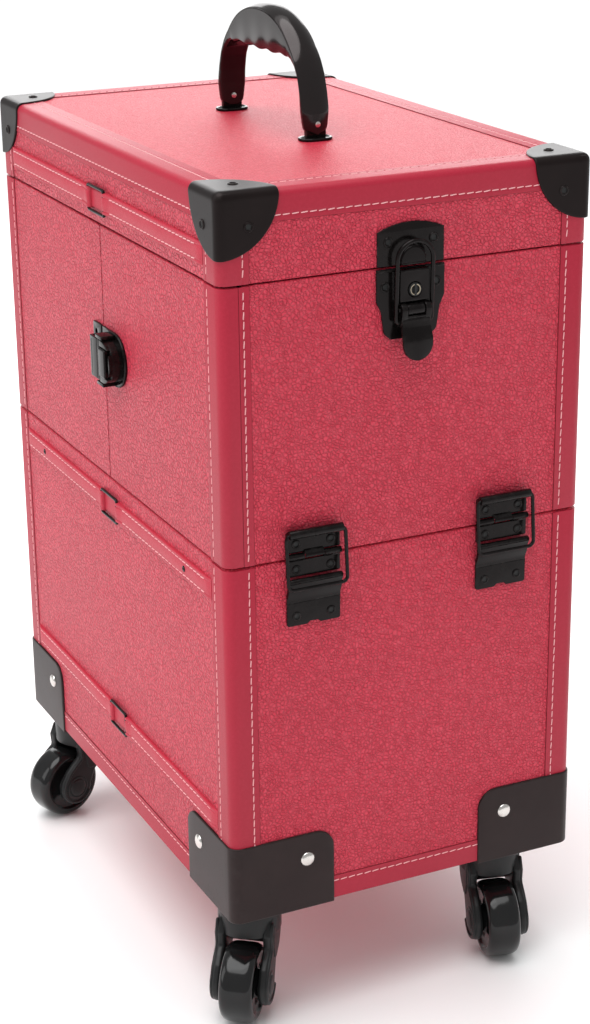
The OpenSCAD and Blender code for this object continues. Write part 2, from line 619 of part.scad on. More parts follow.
// ---------- carry handle ----------
hp_z = z3 + 9.7;     // handle pivot height
foot_x = 61;
h_z0 = z3 - 7;
h_zt = z3 + handle_rise;
function outer_x(z) = handle_a * pow(max(0, 1 - pow((z - h_z0) / (h_zt - h_z0), 2.2)), 1 / 2.2);
function outer_pt(t) = [-handle_a * (cos(t) < 0 ? -1 : 1) * pow(abs(cos(t)), 2 / 2.2), h_z0 + (h_zt - h_z0) * pow(abs(sin(t)), 2 / 2.2)];
in_top = z3 + 47.5;
module handle_feet() {
  color(iron) for (s = [-1, 1]) translate([s * foot_x, 0, 0]) {
    translate([0, 0, z3]) linear_extrude(height = 2.2) union() {
      square([14, 7], center = true);
      for (t = [-1, 1]) translate([0, t * 3.5]) circle(r = 7);
    }
    along_x(-1.7, 1.7) union() {
      translate([-7, z3 + 2]) square([14, 7.7]);
      translate([0, hp_z]) circle(r = 7);
    }
    bar_x(1.5, -4.1, 4.1, 0, hp_z);
  }
}
module handle_outline() {
  difference() {
    polygon(concat([for (t = [12:3:168]) outer_pt(t)], [[64.9, hp_z], [57, hp_z], [57, hp_z + 4], [-57, hp_z + 4], [-57, hp_z], [-64.9, hp_z]]));
    // opening with finger grooves at its top
    polygon(concat([[-57, hp_z - 1], [-56.6, z3 + 26], [-54, z3 + 37], [-48, z3 + 44], [-40, z3 + 46.5]],
      [for (x = [-38:2:38]) [x, in_top - 1.2 * cos(x * 360 / 19) - 0.5]],
      [[40, z3 + 46.5], [48, z3 + 44], [54, z3 + 37], [56.6, z3 + 26], [57, hp_z - 1]]));
  }
}
module handle_grip() {
  color(iron) difference() {
    union() {
      intersection() {
        along_y(-handle_y / 2, handle_y / 2) handle_outline();
        // the legs grow from the pivot ends to the full width
        along_x(-90, 90) polygon([[-7, hp_z], [-7, hp_z + 3], [-handle_y / 2, hp_z + 14], [-handle_y / 2, h_zt - 3], [-handle_y / 2 + 3, h_zt + 1], [handle_y / 2 - 3, h_zt + 1], [handle_y / 2, h_zt - 3], [handle_y / 2, hp_z + 14], [7, hp_z + 3], [7, hp_z]]);
      }
      for (s = [-1, 1]) bar_x(7, s > 0 ? 57 : -64.9, s > 0 ? 64.9 : -57, 0, hp_z);
    }
    for (s = [-1, 1]) {
      span(s * foot_x - 2.1, s * foot_x + 2.1, -12, 12, hp_z - 9, hp_z + 8);
      bar_x(1.55, s * foot_x - 6, s * foot_x + 6, 0, hp_z);
    }
  }
}

lower_shell();
locating_lip();
lower_edge_trim();
lower_straps();
lower_strap_buckles();
bottom_brackets();
bracket_rivets();
caster_sockets();
draw_latch_plates();
caster_fork_1();
caster_fork_2();
caster_fork_3();
caster_fork_4();
caster_wheel_1();
caster_wheel_2();
caster_wheel_3();
caster_wheel_4();
upper_shell();
upper_edge_trim();
drawer_runners();
draw_latch_keepers();
draw_latch_ring_1();
draw_latch_ring_2();
draw_latch_ring_3();
draw_latch_ring_4();
hinge_leaves_body();
key_latch_bases();
key_latch_lever_right();
key_latch_lever_left();
key_latch_bail_right();
key_latch_bail_left();
key_plug_right();
key_plug_left();
door_left();
door_right();
door_keeper();
door_latch_base();
door_latch_hasp();
door_latch_button();
drawer_1();
drawer_2();
drawer_3();
drawer_4();
drawer_knob_1();
drawer_knob_2();
drawer_knob_3();
drawer_knob_4();
lid_shell();
lid_edge_trim();
lid_strap();
lid_strap_buckle();
corner_protectors();
protector_rivets();
hinge_leaves_lid();
key_catches();
lid_mirror();
handle_feet();
handle_grip();
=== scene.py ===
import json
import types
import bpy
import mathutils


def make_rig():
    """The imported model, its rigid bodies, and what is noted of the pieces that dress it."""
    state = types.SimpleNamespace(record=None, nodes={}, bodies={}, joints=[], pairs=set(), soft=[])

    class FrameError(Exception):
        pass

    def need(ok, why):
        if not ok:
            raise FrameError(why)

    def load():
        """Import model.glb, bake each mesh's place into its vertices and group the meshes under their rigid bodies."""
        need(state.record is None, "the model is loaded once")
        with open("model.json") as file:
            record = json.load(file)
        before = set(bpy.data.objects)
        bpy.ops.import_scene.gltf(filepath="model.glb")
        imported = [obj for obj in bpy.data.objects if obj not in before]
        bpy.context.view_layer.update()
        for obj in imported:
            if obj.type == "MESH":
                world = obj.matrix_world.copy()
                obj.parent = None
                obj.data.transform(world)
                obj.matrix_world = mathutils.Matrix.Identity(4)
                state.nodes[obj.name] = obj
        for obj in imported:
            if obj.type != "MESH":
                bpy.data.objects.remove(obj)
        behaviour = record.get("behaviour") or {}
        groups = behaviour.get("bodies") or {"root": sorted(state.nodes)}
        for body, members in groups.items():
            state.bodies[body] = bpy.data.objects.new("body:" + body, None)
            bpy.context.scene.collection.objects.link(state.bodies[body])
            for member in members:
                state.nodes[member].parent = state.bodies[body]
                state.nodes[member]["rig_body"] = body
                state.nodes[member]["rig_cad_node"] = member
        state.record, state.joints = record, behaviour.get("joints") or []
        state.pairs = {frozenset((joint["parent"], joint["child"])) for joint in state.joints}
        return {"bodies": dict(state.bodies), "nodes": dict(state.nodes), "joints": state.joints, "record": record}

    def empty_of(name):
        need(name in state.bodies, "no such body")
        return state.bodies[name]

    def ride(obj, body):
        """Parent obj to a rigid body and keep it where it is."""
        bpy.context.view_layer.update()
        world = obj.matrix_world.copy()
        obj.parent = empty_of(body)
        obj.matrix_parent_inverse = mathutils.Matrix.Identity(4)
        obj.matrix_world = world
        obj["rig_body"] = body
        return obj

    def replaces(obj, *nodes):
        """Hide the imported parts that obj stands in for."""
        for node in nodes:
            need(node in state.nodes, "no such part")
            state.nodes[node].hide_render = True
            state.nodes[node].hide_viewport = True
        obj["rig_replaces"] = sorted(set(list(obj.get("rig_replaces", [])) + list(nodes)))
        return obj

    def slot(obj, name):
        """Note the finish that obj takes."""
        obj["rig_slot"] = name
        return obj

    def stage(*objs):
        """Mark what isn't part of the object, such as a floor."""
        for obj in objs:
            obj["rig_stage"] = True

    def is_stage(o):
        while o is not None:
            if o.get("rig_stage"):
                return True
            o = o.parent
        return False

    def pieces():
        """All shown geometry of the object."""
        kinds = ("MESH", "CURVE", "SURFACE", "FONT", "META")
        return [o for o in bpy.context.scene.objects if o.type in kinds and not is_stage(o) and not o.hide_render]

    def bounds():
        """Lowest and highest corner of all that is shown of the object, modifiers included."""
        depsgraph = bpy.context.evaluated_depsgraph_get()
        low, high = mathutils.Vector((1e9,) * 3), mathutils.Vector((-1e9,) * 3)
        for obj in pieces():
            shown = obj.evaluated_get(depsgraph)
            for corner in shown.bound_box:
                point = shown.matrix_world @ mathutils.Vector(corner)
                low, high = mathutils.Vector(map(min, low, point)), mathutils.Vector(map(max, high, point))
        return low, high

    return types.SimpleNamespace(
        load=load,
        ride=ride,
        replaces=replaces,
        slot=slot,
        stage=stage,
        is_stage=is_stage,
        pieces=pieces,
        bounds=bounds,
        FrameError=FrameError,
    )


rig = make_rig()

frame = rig.load()
cad_box = [list(map(float, p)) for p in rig.bounds()]

import json
import math
import random

import bmesh
import bpy
from mathutils import Matrix, Vector

rng = random.Random(11)
scene = bpy.context.scene

# ---------------------------------------------------------------- sizes, in millimetres
HW, HD = 180.0, 116.0
Z0, Z1, Z2, Z3 = 77.0, 302.0, 465.0, 515.5
UB, UT = 302.6, 464.6
EDGE = 6.0
RISE = 0.5          # how far an edge strip stands proud
PITCH = 5.4         # stitch pitch


# ---------------------------------------------------------------- materials
class Mat:
    def __init__(self, name, **sockets):
        self.m = bpy.data.materials.new(name)
        self.m.use_nodes = True
        self.nt = self.m.node_tree
        self.nt.nodes.clear()
        self.out = self.nt.nodes.new("ShaderNodeOutputMaterial")
        self.p = self.nt.nodes.new("ShaderNodeBsdfPrincipled")
        self.nt.links.new(self.p.outputs[0], self.out.inputs[0])
        for k, v in sockets.items():
            self.p.inputs[k.replace("_", " ")].default_value = v
        self.co = self.nt.nodes.new("ShaderNodeTexCoord").outputs["Object"]

    def n(self, kind, ins=None, **props):
        node = self.nt.nodes.new(kind)
        for k, v in props.items():
            setattr(node, k, v)
        for k, v in (ins or {}).items():
            s = node.inputs[k]
            if isinstance(v, bpy.types.NodeSocket):
                self.nt.links.new(v, s)
            else:
                s.default_value = v
        return node

    def math(self, op, a, b=0.0, clamp=False):
        return self.n("ShaderNodeMath", {0: a, 1: b}, operation=op, use_clamp=clamp).outputs[0]

    def noise(self, scale, detail=3.0, rough=0.55, co=None):
        return self.n("ShaderNodeTexNoise", {"Vector": co or self.co, "Scale": scale, "Detail": detail, "Roughness": rough}).outputs[0]

    def ramp(self, fac, stops):
        node = self.n("ShaderNodeValToRGB", {0: fac})
        r = node.color_ramp
        while len(r.elements) < len(stops):
            r.elements.new(0.5)
        for e, (pos, col) in zip(r.elements, stops):
            e.position = pos
            e.color = tuple(col) + (1,) if not isinstance(col, (int, float)) else (col, col, col, 1)
        return node.outputs[0]

    def mix(self, fac, a, b):
        node = self.n("ShaderNodeMix", data_type="RGBA")
        for idx, v in ((0, fac), (6, a), (7, b)):
            s = node.inputs[idx]
            if isinstance(v, bpy.types.NodeSocket):
                self.nt.links.new(v, s)
            else:
                s.default_value = v if isinstance(v, (int, float)) else tuple(v) + (1,)
        return node.outputs[2]

    def set(self, **sockets):
        for k, v in sockets.items():
            self.nt.links.new(v, self.p.inputs[k.replace("_", " ")])
        return self

    def bump(self, height, distance, strength=1.0, normal=None):
        ins = {"Height": height, "Distance": distance, "Strength": strength}
        if normal is not None:
            ins["Normal"] = normal
        return self.n("ShaderNodeBump", ins).outputs[0]


def warped(m, amount, scale):
    noise = m.n("ShaderNodeTexNoise", {"Vector": m.co, "Scale": scale, "Detail": 2.0})
    shift = m.n("ShaderNodeVectorMath", {0: noise.outputs[1], 1: (0.5, 0.5, 0.5)}, operation="SUBTRACT").outputs[0]
    shift = m.n("ShaderNodeVectorMath", {0: shift, "Scale": amount}, operation="SCALE").outputs[0]
    return m.n("ShaderNodeVectorMath", {0: m.co, 1: shift}, operation="ADD").outputs[0]


def leather(name, base, dark, light, cell, depth, rough, crease_shade=0.5, spec=0.5):
    m = Mat(name, IOR=1.5)
    m.p.inputs["Specular IOR Level"].default_value = spec
    co = warped(m, cell * 0.9, 0.35 / cell)
    edge = m.n("ShaderNodeTexVoronoi", {"Vector": co, "Scale": 1.0 / cell, "Randomness": 1.0}, feature="DISTANCE_TO_EDGE").outputs[0]
    dome = m.ramp(edge, [(0.0, 0.0), (0.07, 0.45), (0.18, 0.82), (0.42, 1.0)])
    fine = m.noise(3.2 / cell, 3.0, 0.6)
    wide = m.noise(22.0, 2.0, 0.5)
    stain = m.noise(9.0, 3.0, 0.55)
    crumb = m.noise(0.45 / cell, 2.0, 0.6)
    height = m.math("ADD", m.math("MULTIPLY", dome, 0.75), m.math("MULTIPLY", fine, 0.45))
    height = m.math("ADD", height, m.math("MULTIPLY", wide, 1.6))
    # grain valleys darkened towards the dark colour: painted shade in the creases; the same dark colour also gives the
    # random stains below
    col = m.mix(m.math("MULTIPLY", m.math("SUBTRACT", 1.0, dome), crease_shade), base, dark)
    col = m.mix(m.math("MULTIPLY", m.ramp(crumb, [(0.42, 0.0), (0.72, 1.0)]), 0.35), col, light)
    col = m.mix(m.math("MULTIPLY", m.ramp(stain, [(0.35, 0.0), (0.75, 1.0)]), 0.22), col, dark)
    r = m.math("ADD", rough - 0.05, m.math("MULTIPLY", fine, 0.1))
    r = m.math("ADD", r, m.math("MULTIPLY", m.math("SUBTRACT", 1.0, dome), 0.08))
    m.set(Base_Color=col, Roughness=r, Normal=m.bump(height, depth, 0.9))
    return m.m


def coated(name, base, second, rough, spread=0.08, grain=900.0, depth=0.00003, metallic=0.0, wear=0.0, coat=0.0, coat_rough=0.1, spec=0.5, tint=(1, 1, 1)):
    m = Mat(name, Metallic=metallic)
    m.p.inputs["Specular IOR Level"].default_value = spec
    m.p.inputs["Specular Tint"].default_value = tuple(tint) + (1,)
    m.p.inputs["Coat Weight"].default_value = coat
    m.p.inputs["Coat Roughness"].default_value = coat_rough
    fine = m.noise(grain, 2.0, 0.5)
    wide = m.noise(35.0, 3.0, 0.6)
    specks = m.ramp(m.noise(420.0, 4.0, 0.7), [(0.62, 0.0), (0.74, 1.0)])
    col = m.mix(m.ramp(wide, [(0.3, 0.0), (0.7, 1.0)]), base, second)
    if wear:
        point = m.n("ShaderNodeNewGeometry").outputs["Pointiness"]
        rub = m.math("MULTIPLY", m.ramp(point, [(0.52, 0.0), (0.62, 1.0)]), m.ramp(m.noise(160.0, 4.0, 0.7), [(0.45, 0.0), (0.7, 1.0)]))
        col = m.mix(m.math("MULTIPLY", rub, wear), col, (0.22, 0.21, 0.2))
    r = m.math("ADD", rough - spread / 2, m.math("MULTIPLY", wide, spread))
    r = m.math("ADD", r, m.math("MULTIPLY", specks, 0.12))
    m.set(Base_Color=col, Roughness=r, Normal=m.bump(fine, depth, 0.6))
    return m.m


def cloth(name, base, dark, scale=1400.0, sheen=0.4):
    m = Mat(name, Roughness=0.9)
    m.p.inputs["Sheen Weight"].default_value = sheen
    m.p.inputs["Sheen Roughness"].default_value = 0.4
    fibre = m.noise(scale, 4.0, 0.7)
    patch = m.noise(18.0, 3.0, 0.6)
    col = m.mix(m.ramp(fibre, [(0.3, 0.0), (0.75, 1.0)]), dark, base)
    col = m.mix(m.math("MULTIPLY", patch, 0.3), col, dark)
    m.set(Base_Color=col, Normal=m.bump(fibre, 0.0004, 0.8))
    return m.m


# the sides and front take a lighter copy of the leather colour than the lid top: one leather in two tones set to how
# light falls, painted light on the sides and painted shade on the top
LEATHER = leather("leather_grained", (0.70, 0.031, 0.070), (0.43, 0.012, 0.034), (0.90, 0.090, 0.145), 0.0022, 0.0011, 0.44, 0.7)
FRONT = leather("leather_front_panel", (0.69, 0.030, 0.070), (0.42, 0.012, 0.034), (0.89, 0.090, 0.145), 0.0029, 0.0015, 0.42, 0.8)
LID_TOP_SHADED = leather("leather_lid_top", (0.56, 0.012, 0.041), (0.40, 0.006, 0.022), (0.68, 0.048, 0.09), 0.0020, 0.00042, 0.46, 0.6)
TRIM = leather("leather_strip", (0.42, 0.011, 0.036), (0.32, 0.007, 0.023), (0.48, 0.019, 0.05), 0.0009, 0.00005, 0.44, 0.25, 0.36)
# near-black red for the strips' rounded edges and undersides: painted shade of the step where a strip stands proud of
# the panel
STRIP_STEP_SHADE = leather("leather_cut_edge", (0.17, 0.004, 0.011), (0.11, 0.002, 0.006), (0.22, 0.007, 0.018), 0.0007, 0.00005, 0.6, 0.4, 0.3)
STRAP = leather("leather_strap", (0.52, 0.020, 0.05), (0.37, 0.01, 0.026), (0.6, 0.036, 0.075), 0.0014, 0.00012, 0.46, 0.4, 0.42)
BLACK = coated("black_lacquered_steel", (0.0032, 0.0026, 0.0026), (0.0055, 0.0042, 0.0042), 0.19, 0.07, 1100.0, 0.00002, 0.0, 0.14, 0.05, 0.1, 0.15, (1.0, 0.9, 0.9))
SATIN = coated("black_satin_steel", (0.0062, 0.0042, 0.0042), (0.0095, 0.0064, 0.0062), 0.36, 0.08, 900.0, 0.00002, 0.0, 0.25, 0.0, 0.1, 0.15, (1.0, 0.84, 0.84))
BRONZE = coated("dark_bronze_steel", (0.013, 0.0084, 0.0084), (0.02, 0.0136, 0.013), 0.40, 0.1, 700.0, 0.00003, 0.0, 0.22, 0.0, 0.1, 0.25, (1.0, 0.8, 0.8))
PLASTIC = coated("black_moulded_plastic", (0.0052, 0.0042, 0.0042), (0.0085, 0.0066, 0.0066), 0.13, 0.05, 500.0, 0.00001, 0.0, 0.0, 0.12, 0.06, 0.34, (1.0, 0.88, 0.88))
HOUSING = coated("dark_grey_housing_plastic", (0.010, 0.0103, 0.0106), (0.016, 0.0164, 0.0168), 0.36, 0.1, 900.0, 0.00003, 0.0, 0.0, 0.0, 0.1, 0.28)
TREAD = coated("wheel_tread_plastic", (0.006, 0.006, 0.0063), (0.0095, 0.0095, 0.0098), 0.13, 0.07, 600.0, 0.00001, 0.0, 0.0, 0.1, 0.06, 0.3)
HINGE = coated("black_hinge_steel", (0.006, 0.005, 0.005), (0.009, 0.0075, 0.0075), 0.3, 0.08, 900.0, 0.00002, 0.0, 0.0, 0.05, 0.1, 0.2)
# near-black for the floors of hollows, holes, slots and keyways: painted shade
HOLLOW_SHADE = coated("black_hollow", (0.002, 0.002, 0.002), (0.004, 0.004, 0.004), 0.6)
SILVER = coated("nickel_rivet", (0.72, 0.69, 0.66), (0.62, 0.59, 0.56), 0.24, 0.12, 500.0, 0.00002, 1.0)
PLUG = coated("brass_key_plug", (0.42, 0.36, 0.27), (0.34, 0.29, 0.22), 0.3, 0.1, 500.0, 0.00002, 1.0)
RAIL = coated("galvanised_rail", (0.55, 0.56, 0.57), (0.42, 0.43, 0.45), 0.38, 0.16, 260.0, 0.00003, 1.0)
ALU = coated("brushed_aluminium", (0.6, 0.6, 0.61), (0.5, 0.5, 0.51), 0.34, 0.12, 350.0, 0.00002, 1.0)
MIRROR = coated("mirror_glass", (0.86, 0.88, 0.89), (0.84, 0.86, 0.87), 0.03, 0.02, 40.0, 0.000001, 1.0)
LINING = cloth("lining_black_flock", (0.035, 0.033, 0.034), (0.012, 0.011, 0.012))
DRAWER = leather("leather_drawer", (0.56, 0.03, 0.06), (0.4, 0.015, 0.034), (0.66, 0.055, 0.1), 0.0021, 0.0003, 0.48, 0.45)


def thread_material():
    m = Mat("stitch_thread", Roughness=0.62)
    m.p.inputs["Sheen Weight"].default_value = 0.3
    twist = m.n("ShaderNodeTexNoise", {"Vector": m.co, "Scale": 2600.0, "Detail": 2.0}).outputs[0]
    patch = m.noise(60.0, 2.0)
    col = m.mix(m.ramp(twist, [(0.35, 0.0), (0.7, 1.0)]), (0.78, 0.32, 0.34), (0.93, 0.52, 0.53))
    col = m.mix(m.math("MULTIPLY", patch, 0.4), col, (0.86, 0.42, 0.44))
    m.set(Base_Color=col, Normal=m.bump(twist, 0.0001, 0.6))
    return m.m


THREAD = thread_material()


# ---------------------------------------------------------------- mesh building, in millimetres
class Piece:
    def __init__(self):
        self.v, self.f, self.m = [], [], []

    def add(self, shape, mat=0, to=None):
        v, f = shape[0], shape[1]
        n = len(self.v)
        self.v.extend(tuple(to(*p)) if to else tuple(p) for p in v)
        self.f.extend(tuple(i + n for i in q) for q in f)
        self.m.extend(list(mat) if isinstance(mat, (list, tuple)) else [mat] * len(f))
        return self

    def mirrored(self, ax=0):
        v = [tuple(-c if k == ax else c for k, c in enumerate(p)) for p in self.v]
        n = len(self.v)
        self.v += v
        self.f += [tuple(i + n for i in reversed(q)) for q in self.f]
        self.m += self.m
        return self

    def build(self, name, mats, body, slot=None, replaces=(), angle=38.0, weld=True):
        bm = bmesh.new()
        verts = [bm.verts.new(p) for p in self.v]
        for q, k in zip(self.f, self.m):
            if len(set(q)) < 3:
                continue
            try:
                face = bm.faces.new([verts[i] for i in q])
            except ValueError:
                continue
            face.material_index = k
        if weld:
            bmesh.ops.remove_doubles(bm, verts=bm.verts, dist=0.0015)
        bmesh.ops.recalc_face_normals(bm, faces=bm.faces)
        loose = [v for v in bm.verts if not v.link_faces]
        if loose:
            bmesh.ops.delete(bm, geom=loose, context="VERTS")
        me = bpy.data.meshes.new(name)
        bm.to_mesh(me)
        bm.free()
        me.transform(Matrix.Scale(0.001, 4))
        for mt in mats:
            me.materials.append(mt)
        me.polygons.foreach_set("use_smooth", [True] * len(me.polygons))
        me.set_sharp_from_angle(angle=math.radians(angle))
        ob = bpy.data.objects.new(name, me)
        scene.collection.objects.link(ob)
        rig.ride(ob, body)
        if slot:
            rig.slot(ob, slot)
        if replaces:
            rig.replaces(ob, *replaces)
        return ob


def loft(rings, cap=(True, True), closed=True):
    n = len(rings[0])
    v = [tuple(p) for r in rings for p in r]
    f = []
    for k in range(len(rings) - 1):
        for i in range(n if closed else n - 1):
            j = (i + 1) % n
            f.append((k * n + i, k * n + j, (k + 1) * n + j, (k + 1) * n + i))
    if cap[0]:
        f.append(tuple(reversed(range(n))))
    if cap[1]:
        f.append(tuple(range((len(rings) - 1) * n, len(rings) * n)))
    return v, f


def plate(loops, t, bevel=0.25, res=2):
    """Outline in x-y, 0 to t along z, with rounded rims. The first loop is the outline, the rest are holes."""
    cu = bpy.data.curves.new("tmp", "CURVE")
    cu.dimensions = "2D"
    cu.fill_mode = "BOTH"
    cu.extrude = max(t / 2 - bevel, 0.0)
    cu.bevel_depth = bevel
    cu.bevel_resolution = res
    cu.offset = -bevel
    for lp in loops:
        sp = cu.splines.new("POLY")
        sp.points.add(len(lp) - 1)
        for p, q in zip(sp.points, lp):
            p.co = (q[0], q[1], 0, 1)
        sp.use_cyclic_u = True
    ob = bpy.data.objects.new("tmp", cu)
    me = bpy.data.meshes.new_from_object(ob)
    v = [(p.co[0], p.co[1], p.co[2] + t / 2) for p in me.vertices]
    f = [tuple(p.vertices) for p in me.polygons]
    bpy.data.objects.remove(ob)
    bpy.data.meshes.remove(me)
    bpy.data.curves.remove(cu)
    return v, f


def arc(cx, cy, r, a0, a1, n=8):
    return [(cx + r * math.cos(math.radians(a0 + (a1 - a0) * i / n)), cy + r * math.sin(math.radians(a0 + (a1 - a0) * i / n))) for i in range(n + 1)]


def rpoly(pts, r, n=5):
    """Closed outline with rounded corners; r is one radius or one for each corner."""
    out = []
    k = len(pts)
    for i in range(k):
        p, a, b = Vector(pts[i]), Vector(pts[i - 1]), Vector(pts[(i + 1) % k])
        rr = r[i] if isinstance(r, (list, tuple)) else r
        u, w = (a - p), (b - p)
        lu, lw = u.length, w.length
        u.normalize(), w.normalize()
        ang = math.acos(max(-1, min(1, u.dot(w))))
        if rr <= 0 or ang > math.radians(176):
            out.append(tuple(p))
            continue
        d = min(rr / math.tan(ang / 2), lu * 0.49, lw * 0.49)
        rr = d * math.tan(ang / 2)
        s, e = p + u * d, p + w * d
        c = p + (u + w).normalized() * (rr / math.sin(ang / 2))
        a0 = math.atan2(s.y - c.y, s.x - c.x)
        a1 = math.atan2(e.y - c.y, e.x - c.x)
        while a1 - a0 > math.pi:
            a1 -= 2 * math.pi
        while a1 - a0 < -math.pi:
            a1 += 2 * math.pi
        out += [(c.x + rr * math.cos(a0 + (a1 - a0) * j / n), c.y + rr * math.sin(a0 + (a1 - a0) * j / n)) for j in range(n + 1)]
    return out


def rrect(x0, x1, y0, y1, r, n=5):
    return rpoly([(x0, y0), (x1, y0), (x1, y1), (x0, y1)], r, n)


def circle(cx, cy, r, n=24):
    return [(cx + r * math.cos(2 * math.pi * i / n), cy + r * math.sin(2 * math.pi * i / n)) for i in range(n)]


def block(x0, x1, y0, y1, z0, z1, b=0.6):
    v, f = plate([rrect(x0, x1, y0, y1, b, 2)], z1 - z0, min(b, (z1 - z0) / 2.01), 1)
    return [(x, y, z + z0) for x, y, z in v], f


def lathe(profile, n=36, closed=False):
    """Profile of (radius, height) turned about z. Points with radius 0 close it."""
    v, f = [], []
    rows = []
    for r, h in profile:
        if r <= 1e-6:
            rows.append([len(v)])
            v.append((0, 0, h))
        else:
            rows.append(list(range(len(v), len(v) + n)))
            v += [(r * math.cos(2 * math.pi * i / n), r * math.sin(2 * math.pi * i / n), h) for i in range(n)]
    pairs = list(zip(rows, rows[1:])) + ([(rows[-1], rows[0])] if closed else [])
    for a, b in pairs:
        for i in range(n):
            j = (i + 1) % n
            if len(a) == 1 and len(b) == 1:
                continue
            if len(a) == 1:
                f.append((a[0], b[i], b[j]))
            elif len(b) == 1:
                f.append((a[i], a[j], b[0]))
            else:
                f.append((a[i], a[j], b[j], b[i]))
    return v, f


def tube(path, r, n=10, closed=False, flat=1.0):
    """Round wire along a list of points."""
    pts = [Vector(p) for p in path]
    k = len(pts)
    rings = []
    ref = None
    for i, p in enumerate(pts):
        if closed:
            t = (pts[(i + 1) % k] - pts[i - 1]).normalized()
        else:
            t = (pts[min(i + 1, k - 1)] - pts[max(i - 1, 0)]).normalized()
        if ref is None:
            ref = Vector((0, 0, 1)) if abs(t.z) < 0.9 else Vector((1, 0, 0))
        a = (ref - t * ref.dot(t)).normalized()
        ref = a
        b = t.cross(a)
        rings.append([tuple(p + (a * math.cos(2 * math.pi * j / n) * flat + b * math.sin(2 * math.pi * j / n)) * r) for j in range(n)])
    if closed:
        rings.append(rings[0])
        return loft(rings, (False, False))
    t0 = (pts[0] - pts[1]).normalized() * r
    t1 = (pts[-1] - pts[-2]).normalized() * r

    def end(ring, c, t):
        out = []
        for s, d in ((0.8, 0.6), (0.35, 0.93)):
            out.append([tuple(c + (Vector(q) - c) * s + t * d) for q in ring])
        return out
    e0, e1 = end(rings[0], pts[0], t0), end(rings[-1], pts[-1], t1)
    return loft([e0[1], e0[0]] + rings + e1)


def outline(off, r0=EDGE, n=8, hw=HW, hd=HD):
    r = max(r0 + off, 0.3)
    pts = []
    for cx, cy, a in ((hw + off - r, hd + off - r, 0), (-hw - off + r, hd + off - r, 90), (-hw - off + r, -hd - off + r, 180), (hw + off - r, -hd - off + r, 270)):
        pts += arc(cx, cy, r, a, a + 90, n)
    return pts


def skin(path, length, rise, grooves, lo, hi, to3d, base=0.4, ends=(True, True), rounded=(True, True), knots=(), groove_depth=0.26):
    """A thin strip with rounded edges and sewn grooves. path(s) gives (x, y, nx, ny); it is swept from lo to hi."""
    ss = {0.0, length}
    for d in (0.06, 0.16, 0.3, 0.5, 0.9):
        if rounded[0]:
            ss.add(d)
        if rounded[1]:
            ss.add(length - d)
    for g in grooves:
        for d in (-1.6, -1.0, -0.6, -0.3, 0.0, 0.3, 0.6, 1.0, 1.6):
            ss.add(g + d)
    ss.update(knots)
    ss = sorted(s for s in ss if -1e-9 <= s <= length + 1e-9)
    outer, inner = [], []
    for s in ss:
        x, y, nx, ny = path(s)
        h = rise
        for d, on in ((s, rounded[0]), (length - s, rounded[1])):
            if on and d < 0.5:
                h *= math.sqrt(max(0.0, 1 - (1 - d / 0.5) ** 2)) * 0.92 + 0.08
        for g in grooves:
            h -= groove_depth * math.exp(-((s - g) / 0.55) ** 2)
        outer.append((x, y, nx, ny, h))
        inner.append((x, y, nx, ny, -base))

    def ring(t, k):
        return [to3d(x + nx * h * (k if h > 0 else 1), y + ny * h * (k if h > 0 else 1), t) for x, y, nx, ny, h in outer + inner[::-1]]
    e = 0.35
    rings = []
    rings += [ring(lo, 0.35), ring(lo + 0.12, 0.8), ring(lo + e, 1)] if ends[0] else [ring(lo, 1)]
    rings += [ring(hi - e, 1), ring(hi - 0.12, 0.8), ring(hi, 0.35)] if ends[1] else [ring(hi, 1)]
    v, f = loft(rings)
    n = len(outer) + len(inner)
    k = len(outer)
    # faces on the rounded edges and underside take the second material, painted shade of the strip's step
    mats = []
    for q in f:
        m = 0
        if len(q) == 4:
            i = min(q[0] % n, q[1] % n) if abs(q[0] % n - q[1] % n) == 1 else n - 1
            if (rounded[0] and i < 3) or (rounded[1] and k - 5 < i < k) or i >= k - 1:
                m = 1
        mats.append(m)
    return (v, f), mats


def straight(x, y, dx, dy, nx, ny):
    return lambda s: (x + dx * s, y + dy * s, nx, ny)


# stitches: small flattened capsules
def capsule(length, r):
    n = 7
    prof = [(-length / 2, 0.0), (-length / 2 + 0.12 * r, 0.5 * r), (-length / 2 + 0.6 * r, 0.92 * r), (-length * 0.12, r), (length * 0.12, r), (length / 2 - 0.6 * r, 0.92 * r), (length / 2 - 0.12 * r, 0.5 * r), (length / 2, 0.0)]
    v, f, rows = [], [], []
    for x, rr in prof:
        if rr == 0:
            rows.append([len(v)])
            v.append((x, 0, 0))
        else:
            rows.append(list(range(len(v), len(v) + n)))
            v += [(x, rr * math.cos(2 * math.pi * i / n), 0.75 * rr * math.sin(2 * math.pi * i / n)) for i in range(n)]
    for a, b in zip(rows, rows[1:]):
        for i in range(n):
            j = (i + 1) % n
            if len(a) == 1:
                f.append((a[0], b[j], b[i]))
            elif len(b) == 1:
                f.append((a[i], a[j], b[0]))
            else:
                f.append((a[i], a[j], b[j], b[i]))
    return v, f


CAPS = capsule(4.35, 0.37)


def stitch(piece, p0, p1, normal, tilt=5.0, pitch=PITCH, sink=0.0):
    p0, p1, nz = Vector(p0), Vector(p1), Vector(normal).normalized()
    d = p1 - p0
    length = d.length
    d.normalize()
    side = nz.cross(d)
    count = max(1, int(length // pitch))
    start = (length - count * pitch) / 2 + pitch / 2
    for i in range(count):
        c = p0 + d * (start + i * pitch) + nz * (sink + rng.uniform(-0.04, 0.03))
        a = math.radians(tilt + rng.uniform(-2.0, 2.0))
        x = d * math.cos(a) + side * math.sin(a)
        y = nz.cross(x)
        k = rng.uniform(0.95, 1.03)
        piece.add(CAPS, 0, lambda px, py, pz: c + x * px * k + y * py + nz * pz)


